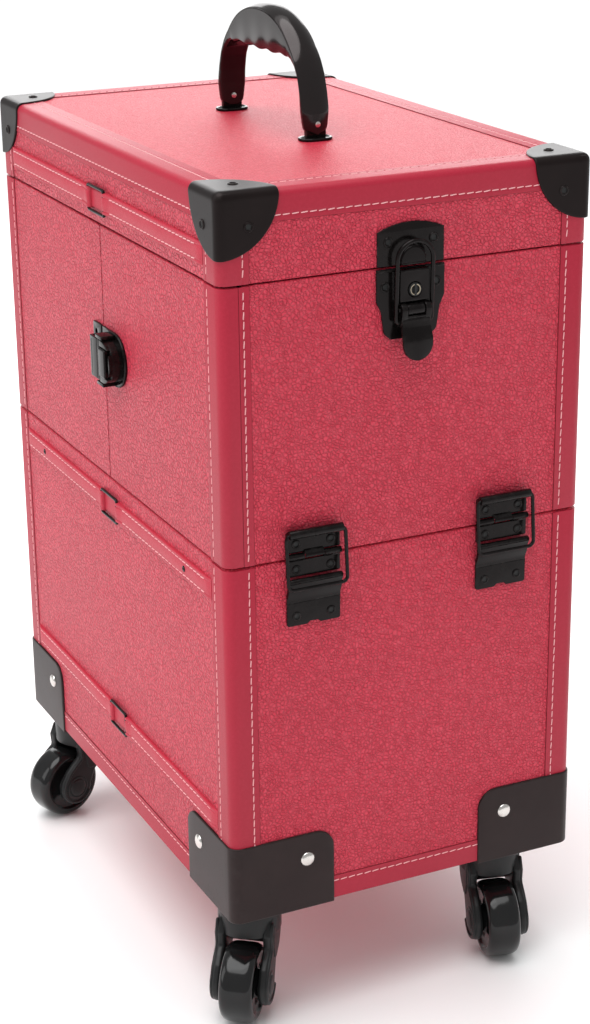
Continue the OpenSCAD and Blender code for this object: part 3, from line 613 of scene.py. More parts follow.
# ---------------------------------------------------------------- the camera and the stage
cam_data = bpy.data.cameras.new("camera")
cam = bpy.data.objects.new("camera", cam_data)
scene.collection.objects.link(cam)
az, el, roll = math.radians(64.75), math.radians(20.09), math.radians(-0.76)
back = Vector((math.sin(az) * math.cos(el), -math.cos(az) * math.cos(el), math.sin(el)))
fwd = -back
right = fwd.cross(Vector((0, 0, 1))).normalized()
up = right.cross(fwd)
r2 = right * math.cos(roll) + up * math.sin(roll)
u2 = up * math.cos(roll) - right * math.sin(roll)
rot = Matrix((r2, u2, back)).transposed()
cam.matrix_world = Matrix.Translation((1.22245, -0.56428, 0.7522)) @ rot.to_4x4()
cam_data.sensor_fit = "VERTICAL"
cam_data.sensor_height = 36.0
cam_data.lens = 36.0 * 2175.88 / 1024.0
cam_data.clip_start = 0.05
cam_data.clip_end = 60.0
cam_data.dof.use_dof = False
scene.camera = cam


def stage():
    m = Mat("studio_floor", Roughness=0.85)
    cloud = m.noise(3.0, 2.0)
    m.set(Base_Color=m.mix(m.math("MULTIPLY", cloud, 0.2), (0.93, 0.93, 0.93), (0.90, 0.90, 0.90)))
    p = Piece()
    p.add(([(-9000, -9000, -0.02), (9000, -9000, -0.02), (9000, 9000, -0.02), (-9000, 9000, -0.02)], [(0, 1, 2, 3)]))
    me = bpy.data.meshes.new("floor")
    me.from_pydata([tuple(c / 1000 for c in v) for v in p.v], [], p.f)
    me.materials.append(m.m)
    ob = bpy.data.objects.new("floor", me)
    scene.collection.objects.link(ob)
    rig.stage(ob)
    w = bpy.data.worlds.new("studio")
    scene.world = w
    w.use_nodes = True
    w.node_tree.nodes["Background"].inputs[0].default_value = (1, 1, 1, 1)
    w.node_tree.nodes["Background"].inputs[1].default_value = 0.5

    def area(name, at, target, size, power, size_y=None):
        li = bpy.data.lights.new(name, "AREA")
        li.energy = power
        li.shape = "RECTANGLE"
        li.size = size
        li.size_y = size_y or size
        o = bpy.data.objects.new(name, li)
        o.location = at
        d = Vector(target) - Vector(at)
        o.rotation_euler = d.to_track_quat("-Z", "Y").to_euler()
        scene.collection.objects.link(o)
    area("top_light", (-0.1, -0.5, 2.3), (0, 0, 0.3), 1.9, 12)
    area("front_light", (-0.5, -2.4, 1.3), (0, 0, 0.35), 1.2, 12, 1.6)
    area("back_light", (-1.8, 0.85, 1.15), (0, 0, 0.5), 2.0, 24, 1.2)
    sun = bpy.data.lights.new("overhead", "SUN")
    sun.energy = 2.05
    sun.angle = math.radians(55)
    so = bpy.data.objects.new("overhead", sun)
    so.rotation_euler = Vector((-0.07, 0.2, -1.0)).to_track_quat("-Z", "Y").to_euler()
    scene.collection.objects.link(so)



stage()
scene.view_settings.view_transform = "Standard"
scene.view_settings.look = "None"


# ---------------------------------------------------------------- case work
def cup(levels, floor_first=True):
    """levels: (z, offset) from one closed end over the rim to the other closed end."""
    rings = [[(x, y, z) for x, y in outline(off)] for z, off in levels]
    return loft(rings)


def lower_section():
    p = Piece()
    rim = [(Z0, -2.0), (Z0 + 0.25, -0.9), (Z0 + 0.9, -0.2), (Z0 + 2.0, 0), (Z1 - 1.7, 0), (Z1 - 1.0, -0.2), (Z1 - 0.4, -0.85), (Z1, -2.0), (Z1, -6.6), (Z1 - 0.4, -7.0)]
    v, f = cup(rim + [(Z0 + 8.4, -7.0), (Z0 + 8, -7.6)])
    mats = [1 if (min(v[i][2] for i in q) >= Z0 + 7.9 and max(abs(v[q[0]][0]) - HW, abs(v[q[0]][1]) - HD) < -6.5) else 0 for q in f]
    mats[-1] = 1
    mats = [2 if max(v[i][1] for i in q) < -HD + 0.3 else m for q, m in zip(f, mats)]
    p.add((v, f), mats)
    p.build("lower_case", [LEATHER, LINING, FRONT], "lower_section", "pink_leather", ["lower_shell"])


def corner_path(sx, sy, wf, ws, ends=None):
    """Path round an upright corner, from the wide face to the narrow face."""
    a, b = wf - EDGE, EDGE * math.pi / 2
    length = a + b + (ws - EDGE)

    def path(s):
        if s < a:
            x, y, nx, ny = HW - wf + s, -HD, 0, -1
        elif s < a + b:
            t = (s - a) / EDGE
            x, y = HW - EDGE + EDGE * math.sin(t), -HD + EDGE - EDGE * math.cos(t)
            nx, ny = math.sin(t), -math.cos(t)
        else:
            x, y, nx, ny = HW, -HD + EDGE + (s - a - b), 1, 0
        return sx * x, -sy * y, sx * nx, -sy * ny
    knots = [a + b * i / 10 for i in range(11)] + [a * 0.5]
    return path, length, knots


def upright(p, q, sx, sy, za, zb, wf=20.0, ws=18.0, sf=16.0, ss=14.0, both=True):
    path, length, knots = corner_path(sx, sy, wf, ws)
    grooves = [wf - sf] + ([length - (ws - ss)] if both else [])
    shape, mats = skin(path, length, RISE, grooves, za, zb, lambda x, y, t: (x, y, t), rounded=(True, both), knots=knots)
    p.add(shape, mats)
    stitch(q, (sx * (HW - sf), sy * (HD + RISE - 0.16), za + 1), (sx * (HW - sf), sy * (HD + RISE - 0.16), zb - 1), (0, sy, 0), 5 * sx * sy)
    if both:
        stitch(q, (sx * (HW + RISE - 0.16), sy * (HD - ss), za + 1), (sx * (HW + RISE - 0.16), sy * (HD - ss), zb - 1), (sx, 0, 0), -5)


def flat_band(p, q, origin, along, across, normal, length, width, rows, lo_round=True, hi_round=True, ends=(True, True), rise=RISE):
    """A strip on a flat face: origin at its lower outer corner; rows are the sewn lines, measured across."""
    o, a, c, n = Vector(origin), Vector(along), Vector(across), Vector(normal)
    path = straight(0, 0, 1, 0, 0, 1)
    shape, mats = skin(path, width, rise, rows, 0, length, lambda x, y, t: o + c * x + n * y + a * t, rounded=(lo_round, hi_round), ends=ends)
    p.add(shape, mats)
    for r in rows:
        stitch(q, o + c * r + n * (rise - 0.16) + a * 1.0, o + c * r + n * (rise - 0.16) + a * (length - 1.0), n)


def edge_strips():
    p, q = Piece(), Piece()
    for sx in (-1, 1):
        for sy in (-1, 1):
            upright(p, q, sx, sy, 120.0, Z1 - 0.7)
    # bottom borders between the upright strips
    for s in (-1, 1):
        flat_band(p, q, (s * HW, -98, Z0 + 0.3), (0, 1, 0), (0, 0, 1), (s, 0, 0), 196, 15.2, [11.7], lo_round=True)
        flat_band(p, q, (-160, s * HD, Z0 + 0.3), (1, 0, 0), (0, 0, 1), (0, s, 0), 320, 15.2, [11.7], lo_round=True)
    p.build("lower_edge_strips", [TRIM, STRIP_STEP_SHADE], "lower_section", "pink_trim", ["lower_edge_trim"])
    q.build("lower_edge_stitches", [THREAD], "lower_section", "pink_trim", weld=False)
    # upper section: back corners, and the narrow strips just behind the doors
    p, q = Piece(), Piece()
    for sx in (-1, 1):
        upright(p, q, sx, 1, UB + 0.7, UT - 0.4)
        path = straight(sx * HW, -104.7, 0, 1, sx, 0)
        shape, mats = skin(path, 6.7, RISE - 0.04, [2.7], UB + 0.3, UT - 0.3, lambda x, y, t: (x, y, t), base=-0.03, rounded=(False, True))
        p.add(shape, mats)
        stitch(q, (sx * (HW + RISE - 0.16), -102, UB + 1.5), (sx * (HW + RISE - 0.16), -102, UT - 1.5), (sx, 0, 0), -5)
    p.build("upper_edge_strips", [TRIM, STRIP_STEP_SHADE], "upper_section", "pink_trim", ["upper_edge_trim"])
    q.build("upper_edge_stitches", [THREAD], "upper_section", "pink_trim", weld=False)


def upper_section():
    p = Piece()
    wall = [(HW, -103.5)] + arc(HW - EDGE, HD - EDGE, EDGE, 0, 90) + arc(-HW + EDGE, HD - EDGE, EDGE, 90, 180) + [(-HW, -103.5), (-178, -102.2), (-173, -101.1), (-173, 109), (173, 109), (173, -101.1), (178, -102.2)]
    v, f = plate([wall], UT - UB, 1.3, 3)
    v = [(x, y, z + UB) for x, y, z in v]
    mats = []
    for fc in f:
        c = [sum(v[i][k] for i in fc) / len(fc) for k in range(3)]
        mats.append(1 if (abs(c[0]) < 173.2 and c[1] < 109.2) else 0)
    p.add((v, f), mats)
    p.add(block(-173.2, 173.2, -103.2, 109.2, 308.2, 314, 0.8), 1)
    p.add(block(-173.2, 173.2, -103.2, 109.2, 414, 420, 0.8), 1)
    p.add(block(-173.2, 173.2, -103.2, -97.4, 419.4, UT - 0.1, 0.8), 1)
    p.add(block(-4, 4, -80, 109.2, 313.6, 414.4, 0.8), 1)
    p.build("upper_case", [LEATHER, LINING], "upper_section", "pink_leather", ["upper_shell"])


def doors():
    for s, name in ((1, "right"), (-1, "left")):
        zb, zt = UB + 0.4, UT - 0.3
        pts = [(0.6, -104), (0.6, -116), (174, -116)] + arc(174, -110, 6, -90, 0)[1:] + [(180, -104)]
        v, f = plate([[(s * x, y) for x, y in pts]], zt - zb, 0.8, 2)
        v = [(x, y, z + zb) for x, y, z in v]
        mats = []
        for fc in f:
            c = [sum(v[i][k] for i in fc) / len(fc) for k in range(3)]
            mats.append(1 if c[1] > -104.6 else 0)
        p = Piece().add((v, f), mats)
        # lining panel inside the door
        p.add(plate([rrect(zb + 8, zt - 8, 8, 160, 3)], 0.9, 0.3, 1), 1, lambda a, b, c: (s * b, -104.3 + c, a))
        p.build("door_panel_" + name, [FRONT, LINING], name + "_door", "pink_leather", ["door_" + name])
        p, q = Piece(), Piece()
        path, length, knots = corner_path(s, -1, 20.0, 11.3)
        shape, mats = skin(path, length, RISE, [4.0], zb + 0.1, zt - 0.1, lambda x, y, t: (x, y, t), rounded=(True, True), knots=knots)
        p.add(shape, [0 if (m == 1 and False) else m for m in mats])
        stitch(q, (s * 164, -HD - RISE + 0.16, zb + 1), (s * 164, -HD - RISE + 0.16, zt - 1), (0, -1, 0), -5 * s)
        p.build("door_strip_" + name, [TRIM, STRIP_STEP_SHADE], name + "_door", "pink_trim")
        q.build("door_stitches_" + name, [THREAD], name + "_door", "pink_trim", weld=False)


def lid():
    r = 4.0
    top = [(Z3 - r + r * math.sin(math.radians(a)), -r + r * math.cos(math.radians(a))) for a in range(0, 91, 15)]
    zb = Z2 + 0.2
    levels = [(Z3 - 6.5, -7.6), (Z3 - 7.1, -7.0), (zb + 0.5, -7.0), (zb, -6.5), (zb, -1.5), (zb + 0.2, -0.75), (zb + 0.7, -0.22), (zb + 1.5, 0)] + top
    v, f = cup(levels)
    mats = [1 if max(v[i][2] for i in fc) <= Z3 - 6.4 and max(abs(v[fc[0]][0]) - HW, abs(v[fc[0]][1]) - HD) < -6.4 else 0 for fc in f]
    # top faces take the darker lid-top copy of the leather: painted shade
    mats = [2 if min(v[i][2] for i in fc) > Z3 - 0.01 else m for fc, m in zip(f, mats)]
    mats = [3 if max(v[i][1] for i in fc) < -HD + 0.3 else m for fc, m in zip(f, mats)]
    Piece().add((v, f), mats).build("lid_case", [LEATHER, LINING, LID_TOP_SHADED, FRONT], "lid", "pink_leather", ["lid_shell"])
    p, q = Piece(), Piece()
    z_step = Z0 + 421.0
    a, b, c = Z3 - r - z_step, r * math.pi / 2, 15.0

    def wrap(s):
        if s < a:
            return 0, z_step + s, 1, 0
        if s < a + b:
            t = (s - a) / r
            return -r + r * math.cos(t), Z3 - r + r * math.sin(t), math.cos(t), math.sin(t)
        return -r - (s - a - b), Z3, 0, 1
    knots = [a + b * i / 8 for i in range(9)]
    # front and back: sewn 12 mm from the edge on top, narrow sides 15 mm
    for sgn in (-1, 1):
        grooves = [3.5, a + b + 8.0]
        shape, mats = skin(wrap, a + b + c, RISE, grooves, -158, 158, lambda x, z, t: (t, sgn * (HD + x), z), knots=knots)
        p.add(shape, mats)
        stitch(q, (-150, sgn * (HD + RISE - 0.16), z_step + 3.5), (150, sgn * (HD + RISE - 0.16), z_step + 3.5), (0, sgn, 0))
        stitch(q, (-150, sgn * (HD - 12), Z3 + RISE - 0.16), (150, sgn * (HD - 12), Z3 + RISE - 0.16), (0, 0, 1))
        grooves = [3.5, a + b + 11.0]
        shape, mats = skin(wrap, a + b + c, RISE, grooves, -94, 94, lambda x, z, t: (sgn * (HW + x), t, z), knots=knots)
        p.add(shape, mats)
        stitch(q, (sgn * (HW + RISE - 0.16), -86, z_step + 3.5), (sgn * (HW + RISE - 0.16), 86, z_step + 3.5), (sgn, 0, 0))
        stitch(q, (sgn * (HW - 15), -86, Z3 + RISE - 0.16), (sgn * (HW - 15), 86, Z3 + RISE - 0.16), (0, 0, 1))
    for sx in (-1, 1):
        for sy in (-1, 1):
            upright(p, q, sx, sy, Z2 + 0.5, 494.0)
    p.build("lid_edge_strips", [TRIM, STRIP_STEP_SHADE], "lid", "pink_trim", ["lid_edge_trim"])
    q.build("lid_stitches", [THREAD], "lid", "pink_trim", weld=False)


# ---------------------------------------------------------------- straps and buckles
def strap(zc, body, name, node, extra=(), clip=None):
    p, q = Piece(), Piece()
    half = 6.5
    sec = [(-half, 0.0), (-half, 0.55), (-half + 0.12, 0.8), (-half + 0.45, 0.97), (-half + 1.1, 1.0), (-5.0, 1.0), (-4.5, 0.9), (-4.2, 0.82), (-3.9, 0.9), (-3.4, 1.0), (0.0, 1.03)]
    sec = sec + [(-a, h) for a, h in reversed(sec[:-1])]

    def run(x0, x1, height, base=-0.35, steps=60, fold=0):
        xs = [x0 + (x1 - x0) * i / steps for i in range(steps + 1)]
        for d in (0.0, 0.15, 0.4, 0.8, 1.3, 2.0):
            xs += [x0 + d, x1 - d] if x1 > x0 else []
        xs = sorted(set(round(x, 4) for x in xs))
        rings = []
        for x in xs:
            h = height(x)
            rings.append([(x, -HD - (k * h if k > 0 else 0), zc + a) for a, k in sec] + [(x, -HD - base, zc + half), (x, -HD - base, zc - half)])
        return loft(rings)

    def rise(x):
        h = 1.75 + 0.16 * math.sin(x * 0.061 + zc) + 0.1 * math.sin(x * 0.17 + 2 * zc)
        return min(h, 0.42 + (159.3 - abs(x)) * 0.3)

    def fold(d, r):
        return math.sqrt(max(0.0, 1 - (1 - min(d / r, 1)) ** 2))

    def left(x):
        lift = 1.5 * max(0.0, 1 - abs(x + 12.5) / 7.0) ** 1.0 if x > -30 else 0
        return (rise(x) + 1.35 * math.exp(-((x + 12.2) / 4.2) ** 2)) * (0.15 + 0.85 * fold(-9.4 - x, 1.6))

    def right(x):
        return (rise(x) + 1.2 * math.exp(-((x - 14.5) / 4.0) ** 2)) * (0.15 + 0.85 * fold(x - 11.6, 1.2))
    p.add(run(-159.4, -9.4, left))
    p.add(run(11.6, 159.4, right))
    # the tongue that passes through the buckle
    v, f = plate([rrect(-13, 15, -5.6, 5.6, 0.5)], 1.1, 0.35, 1)
    p.add((v, f), 0, lambda x, y, z: (x, -HD - z + 0.2, zc + y))
    surf = HD + 1.62
    for row in (-4.2, 4.2):
        for a, b in ((-154, -24), (20, 154)):
            stitch(q, (a, -surf, zc + row), (b, -surf, zc + row), (0, -1, 0), 4)
    for x in (18.6,):
        stitch(q, (x, -surf, zc - 3.9), (x, -surf, zc + 3.9), (0, -1, 0), 8, pitch=3.8)
    for x in extra:
        ring = lathe([(2.0, -0.4), (2.0, 0.25), (1.7, 0.6), (1.1, 0.75), (0.7, 0.6), (0.55, 0.3), (0, 0.3)], 20)
        p.add(ring, 1, lambda a, b, c: (x + a, -surf - c + 0.05, zc + b))
    p.build(name, [STRAP, BLACK], body, "pink_trim", [node] if node else [])
    q.build(name + "_stitches", [THREAD], body, "pink_trim", weld=False)
    # the wire frame
    w = Piece()
    path = rrect(-12.6, 13.6, -7.7, 7.7, 1.4, 4)
    w.add(tube([(x, -HD - 1.75, zc + y) for x, y in path], 1.0, 10, True), 0)
    return w


def straps():
    a = strap(Z0 + 207, "lower_section", "lower_strap_top", "lower_straps", (-122, 122, -98, 98)[:2])
    b = strap(Z0 + 59, "lower_section", "lower_strap_bottom", "lower_straps")
    w = Piece().add((a.v, a.f)).add((b.v, b.f))
    w.build("lower_buckles", [BLACK], "lower_section", "black_metal", ["lower_strap_buckles"])
    c = strap(Z0 + 403, "lid", "lid_strap_band", "lid_strap")
    Piece().add((c.v, c.f)).build("lid_buckle", [BLACK], "lid", "black_metal", ["lid_strap_buckle"])


# ---------------------------------------------------------------- brackets, protectors, rivets
def brackets():
    p = Piece()
    t, zt, leg, rr = 1.5, Z0 + 48.5, 66.0, 12.0
    for sx in (-1, 1):
        for sy in (-1, 1):
            path, length, knots = corner_path(1, -1, leg, leg)
            ss = sorted(set([0, 0.12, 0.35, 0.8, 1.6] + [i for i in range(3, 13)] + [20, 30, 45, 56] + knots + [length - d for d in [0, 0.12, 0.35, 0.8, 1.6] + list(range(3, 13)) + [20, 30, 45, 56]]))
            rings = []
            for s in ss:
                x, y, nx, ny = path(s)
                d = min(s, length - s)
                top = zt - (rr - math.sqrt(max(0.0, rr * rr - (rr - min(d, rr)) ** 2))) * 1.0
                k = math.sqrt(max(0.0, 1 - (1 - min(d / 0.8, 1)) ** 2)) * 0.75 + 0.25
                sec = [(-4.0, Z0), (-4.0, Z0 - t), (t - 0.9, Z0 - t), (t - 0.35, Z0 - t + 0.12), (t - 0.08, Z0 - t + 0.45), (t, Z0 - t + 1.0), (t, top - 0.9), (t - 0.1, top - 0.4), (t - 0.4, top - 0.08), (t - 0.8, top), (-0.2, top), (-0.2, Z0)]
                rings.append([(sx * (x + nx * o * (k if o > 0 else 1)), -sy * (y + ny * o * (k if o > 0 else 1)), z) for o, z in sec])
            p.add(loft(rings))
    p.build("corner_brackets", [BRONZE], "lower_section", "bronze_metal", ["bottom_brackets"])
    q = Piece()
    dome = lathe([(4.6, -0.5), (4.6, 0.25), (4.45, 0.55), (4.0, 1.05), (3.2, 1.5), (2.2, 1.78), (1.1, 1.9), (0, 1.92)], 40)
    zc = Z0 + 32
    for s in (-1, 1):
        for y in (-68, 68):
            q.add(dome, 0, lambda a, b, c: (s * (HW + 1.5 + c), y + a, zc + b))
        for x in (-132, 132):
            q.add(dome, 0, lambda a, b, c: (x + a, s * (HD + 1.5 + c), zc + b))
    q.build("bracket_dome_rivets", [SILVER], "lower_section", "bright_metal", ["bracket_rivets"], angle=60)


def hollow_rivet(r=2.6, h=0.75):
    v, f = lathe([(r + 0.1, -0.4), (r + 0.1, 0.15), (r - 0.1, h * 0.7), (r - 0.55, h), (r - 1.0, h * 0.85), (r - 1.25, h * 0.4), (r - 1.35, 0.06), (0, 0.06)], 28)
    # the hollow's floor takes the second material: painted shade
    mats = [1 if max(math.hypot(v[i][0], v[i][1]) for i in q) < r - 1.2 else 0 for q in f]
    return (v, f), mats


def protectors():
    R, t, er = 35.5, 1.5, 5.0
    hx, hy, hz = HW + t, HD + t, 60.0
    cz = Z3 + t - hz

    def sdf(p):
        q = (abs(p[0]) - (hx - er), abs(p[1]) - (hy - er), abs(p[2] - cz) - (hz - er))
        o = math.sqrt(sum(max(c, 0.0) ** 2 for c in q))
        return o + min(max(q), 0.0) - er

    corner = Vector((HW, HD, Z3))
    Q = corner - Vector((37, 37, 37))
    D = Vector((1, 1, 1)).normalized()
    A = Vector((1, -1, 0)).normalized()
    B = D.cross(A)

    def hit(w):
        s = 20.0
        for _ in range(80):
            d = sdf(Q + w * s)
            s -= d
            if abs(d) < 1e-4:
                break
        return Q + w * s

    def ray(phi, th):
        return (D * math.cos(th) + (A * math.cos(phi) + B * math.sin(phi)) * math.sin(th)).normalized()

    na, nr = 132, 30
    phis = []
    for i in range(na):
        u = i / na * 3.0
        k, fr = int(u), u - int(u)
        # more samples near the three edges
        fr2 = fr - 0.13 * math.sin(2 * math.pi * fr)
        phis.append((k + fr2) * 2 * math.pi / 3)
    # the edges lie where one of the axes is opposite; find the phase
    base = math.atan2(B.dot(Vector((0, 0, -1))), A.dot(Vector((0, 0, -1))))
    outer, normals = [], []
    for ph in phis:
        phi = base + ph
        lo, hi = 0.02, 1.5
        for _ in range(36):
            mid = (lo + hi) / 2
            if (hit(ray(phi, mid)) - corner).length < R:
                lo = mid
            else:
                hi = mid
        col = []
        for j in range(1, nr + 1):
            k = j / nr
            col.append(hit(ray(phi, lo * k ** 0.9)))
        outer.append(col)

    def normal(p):
        e = 0.02
        g = Vector([sdf(p + Vector(d) * e) - sdf(p - Vector(d) * e) for d in ((1, 0, 0), (0, 1, 0), (0, 0, 1))])
        return g.normalized()
    apex = hit(D)
    rings_out = [[outer[i][j] for i in range(na)] for j in range(nr)]
    rim = rings_out[-1]
    nrm = [normal(p) for p in rim]
    out_dir = []
    for i in range(na):
        tdir = (rim[(i + 1) % na] - rim[i - 1]).normalized()
        o = tdir.cross(nrm[i])
        if o.dot(rim[i] - corner) < 0:
            o.negate()
        out_dir.append(o.normalized())
    rr = 0.6
    # pull the last rings back a little, then roll over the rim
    rolled = []
    for a in (30, 60, 90):
        c, s = math.cos(math.radians(a)), math.sin(math.radians(a))
        rolled.append([rim[i] + out_dir[i] * rr * s - nrm[i] * rr * (1 - c) for i in range(na)])
    rolled.append([rim[i] + out_dir[i] * rr - nrm[i] * (t + 0.1) for i in range(na)])
    inner = [[p - normal(p) * (t + 0.05) for p in ring] for ring in reversed(rings_out[::3] + [rings_out[-1]])]
    v, f = loft([list(map(tuple, r)) for r in rings_out + rolled + inner], (False, False))
    n0 = len(v)
    v = v + [tuple(apex), tuple(apex - D * (t + 0.3))]
    last = n0 - na
    for i in range(na):
        j = (i + 1) % na
        f.append((n0, j, i))
        f.append((n0 + 1, last + i, last + j))
    p = Piece()
    for sx in (-1, 1):
        for sy in (-1, 1):
            p.add((v, f), 0, lambda x, y, z: (sx * x, sy * y, z))
    p.build("corner_caps", [SATIN], "lid", "black_metal", ["corner_protectors"], angle=50)
    q = Piece()
    shape, mats = hollow_rivet(2.9, 0.7)
    for sx in (-1, 1):
        for sy in (-1, 1):
            q.add(shape, mats, lambda a, b, c: (sx * (HW + t + c), sy * (HD - 17.5) + a, Z3 - 18.5 + b))
            q.add(shape, mats, lambda a, b, c: (sx * (HW - 17) + a, sy * (HD + t + c), Z3 - 18.5 + b))
            q.add(shape, mats, lambda a, b, c: (sx * (HW - 17) + a, sy * (HD - 17) + b, Z3 + t + c))
    q.build("cap_hollow_rivets", [SATIN, HOLLOW_SHADE], "lid", "black_metal", ["protector_rivets"])


# ---------------------------------------------------------------- draw latches
KN, LIP, ROLL = Z1 + 2.3, Z1 - 12.5, Z1 + 17.0
LATCH_Y = 62.0


def on_side(s, y0=0.0):
    return lambda x, y, z: (s * (HW + x), y0 + y, z)


def prof_y(loops, y0, y1, bevel=0.25, res=2):
    v, f = plate(loops, y1 - y0, bevel, res)
    return [(x, y0 + z, y) for x, y, z in v], f


def prof_x(loops, x0, x1, bevel=0.25, res=2):
    v, f = plate(loops, x1 - x0, bevel, res)
    return [(x0 + z, x, y) for x, y, z in v], f


def hook(cx, cz, r, t, a0, a1, n=14):
    """Rolled sheet: an arc band of thickness t ending at a0 and a1 degrees."""
    return arc(cx, cz, r, a0, a1, n) + arc(cx, cz, r - t, a1, a0, n)


def draw_latches():
    low, top = Piece(), Piece()
    riv, rm = hollow_rivet(2.7, 0.7)
    for s in (-1, 1):
        for y in (-LATCH_Y, LATCH_Y):
            to = on_side(s, y)
            # upper leaf of the catch plate, hinged on the seam
            low.add(prof_x([rrect(-17, 17, LIP + 2.2, Z1 - 0.4, 0.6)], 0, 1.3, 0.3), 0, to)
            for a, b in ((-17, -6.4), (6.4, 17)):
                low.add(prof_y([[(0.2, Z1 - 3.2), (1.2, Z1 - 3.2), (1.2, Z1 - 1.0), (2.2, Z1 + 0.4), (3.6, Z1 + 1.0)] + arc(2.2, KN, 1.95, -40, 200, 14) + [(0.2, KN - 1.0)]], a, b, 0.2), 0, to)
            for a in (-11, 11):
                low.add(riv, rm, lambda x, yy, z: to(1.3 + z, a + x, Z1 - 5.8 + yy))
                low.add(riv, rm, lambda x, yy, z: to(1.35 + z, a + x, LIP - 22.0 + yy))
                top.add(riv, rm, lambda x, yy, z: to(1.3 + z, a + x, Z1 + 9.6 + yy))
            # sprung lower plate: rolled lip, S bend, foot with a shallow notch
            bend = [(0, LIP - 12), (0, LIP - 9.0), (1.4, LIP - 6.6), (2.0, LIP - 3.0)]
            outer = [(1.35, LIP - 12.6), (1.9, LIP - 10.6), (3.1, LIP - 8.2), (3.9, LIP - 5.6), (4.3, LIP - 3.0), (5.4, LIP - 0.6)]
            low.add(prof_y([[(0, LIP - 14)] + bend + [(2.3, LIP - 0.5)] + list(reversed(arc(3.8, LIP + 0.1, 1.85, -30, 200, 16))) + list(reversed(outer)) + [(1.35, LIP - 14)]], -17, 17, 0.22), 0, to)
            z_b, z_t = LIP - 28, LIP - 13.5
            foot = rpoly([(-17, z_b), (-4.2, z_b), (-2.6, z_b + 1.5), (2.6, z_b + 1.5), (4.2, z_b), (17, z_b), (17, z_t), (-17, z_t)], [1.6, 1, 1, 1, 1, 1.6, 0, 0], 4)
            low.add(prof_x([foot], 0, 1.35, 0.3), 0, to)
            # keeper: plate, knuckle in the middle and the rolled tube
            top.add(prof_x([rrect(-17, 17, Z1 + 4.4, ROLL - 1.5, 0.5)], 0, 1.3, 0.3), 0, to)
            top.add(prof_y([[(0.2, Z1 + 5.2)] + [(0.2, KN)] + arc(2.2, KN, 1.95, 180, -20, 16)[0:] + [(3.4, KN + 1.9), (1.2, KN + 3.6), (1.2, Z1 + 5.2)]], -6.0, 6.0, 0.2), 0, to)
            top.add(prof_y([[(0.0, ROLL - 3.0), (1.25, ROLL - 3.0), (2.4, ROLL - 2.6)] + arc(5.0, ROLL, 2.55, -110, 150, 20) + [(1.6, ROLL + 0.6), (0.0, ROLL - 0.6)]], -17, 17, 0.22), 0, to)
    low.build("draw_latch_catches", [BLACK, HOLLOW_SHADE], "lower_section", "black_metal", ["draw_latch_plates"], angle=40)
    top.build("draw_latch_rolls", [BLACK, HOLLOW_SHADE], "upper_section", "black_metal", ["draw_latch_keepers"], angle=40)
    drop = ROLL - Z1 + 15.9
    tilt = math.atan(2.6 / drop)
    for i, (s, y) in enumerate(((1, -LATCH_Y), (1, LATCH_Y), (-1, -LATCH_Y), (-1, LATCH_Y)), 1):
        path = rrect(-18.7, 18.7, -drop, 0, 3.4, 6)
        to = on_side(s, y)
        w = Piece().add(tube([to(5 - b * math.sin(tilt), a, ROLL + b * math.cos(tilt)) for a, b in path], 1.1, 12, True))
        w.build("draw_latch_wire_%d" % i, [BLACK], "latch_ring_%d" % i, "black_metal", ["draw_latch_ring_%d" % i])


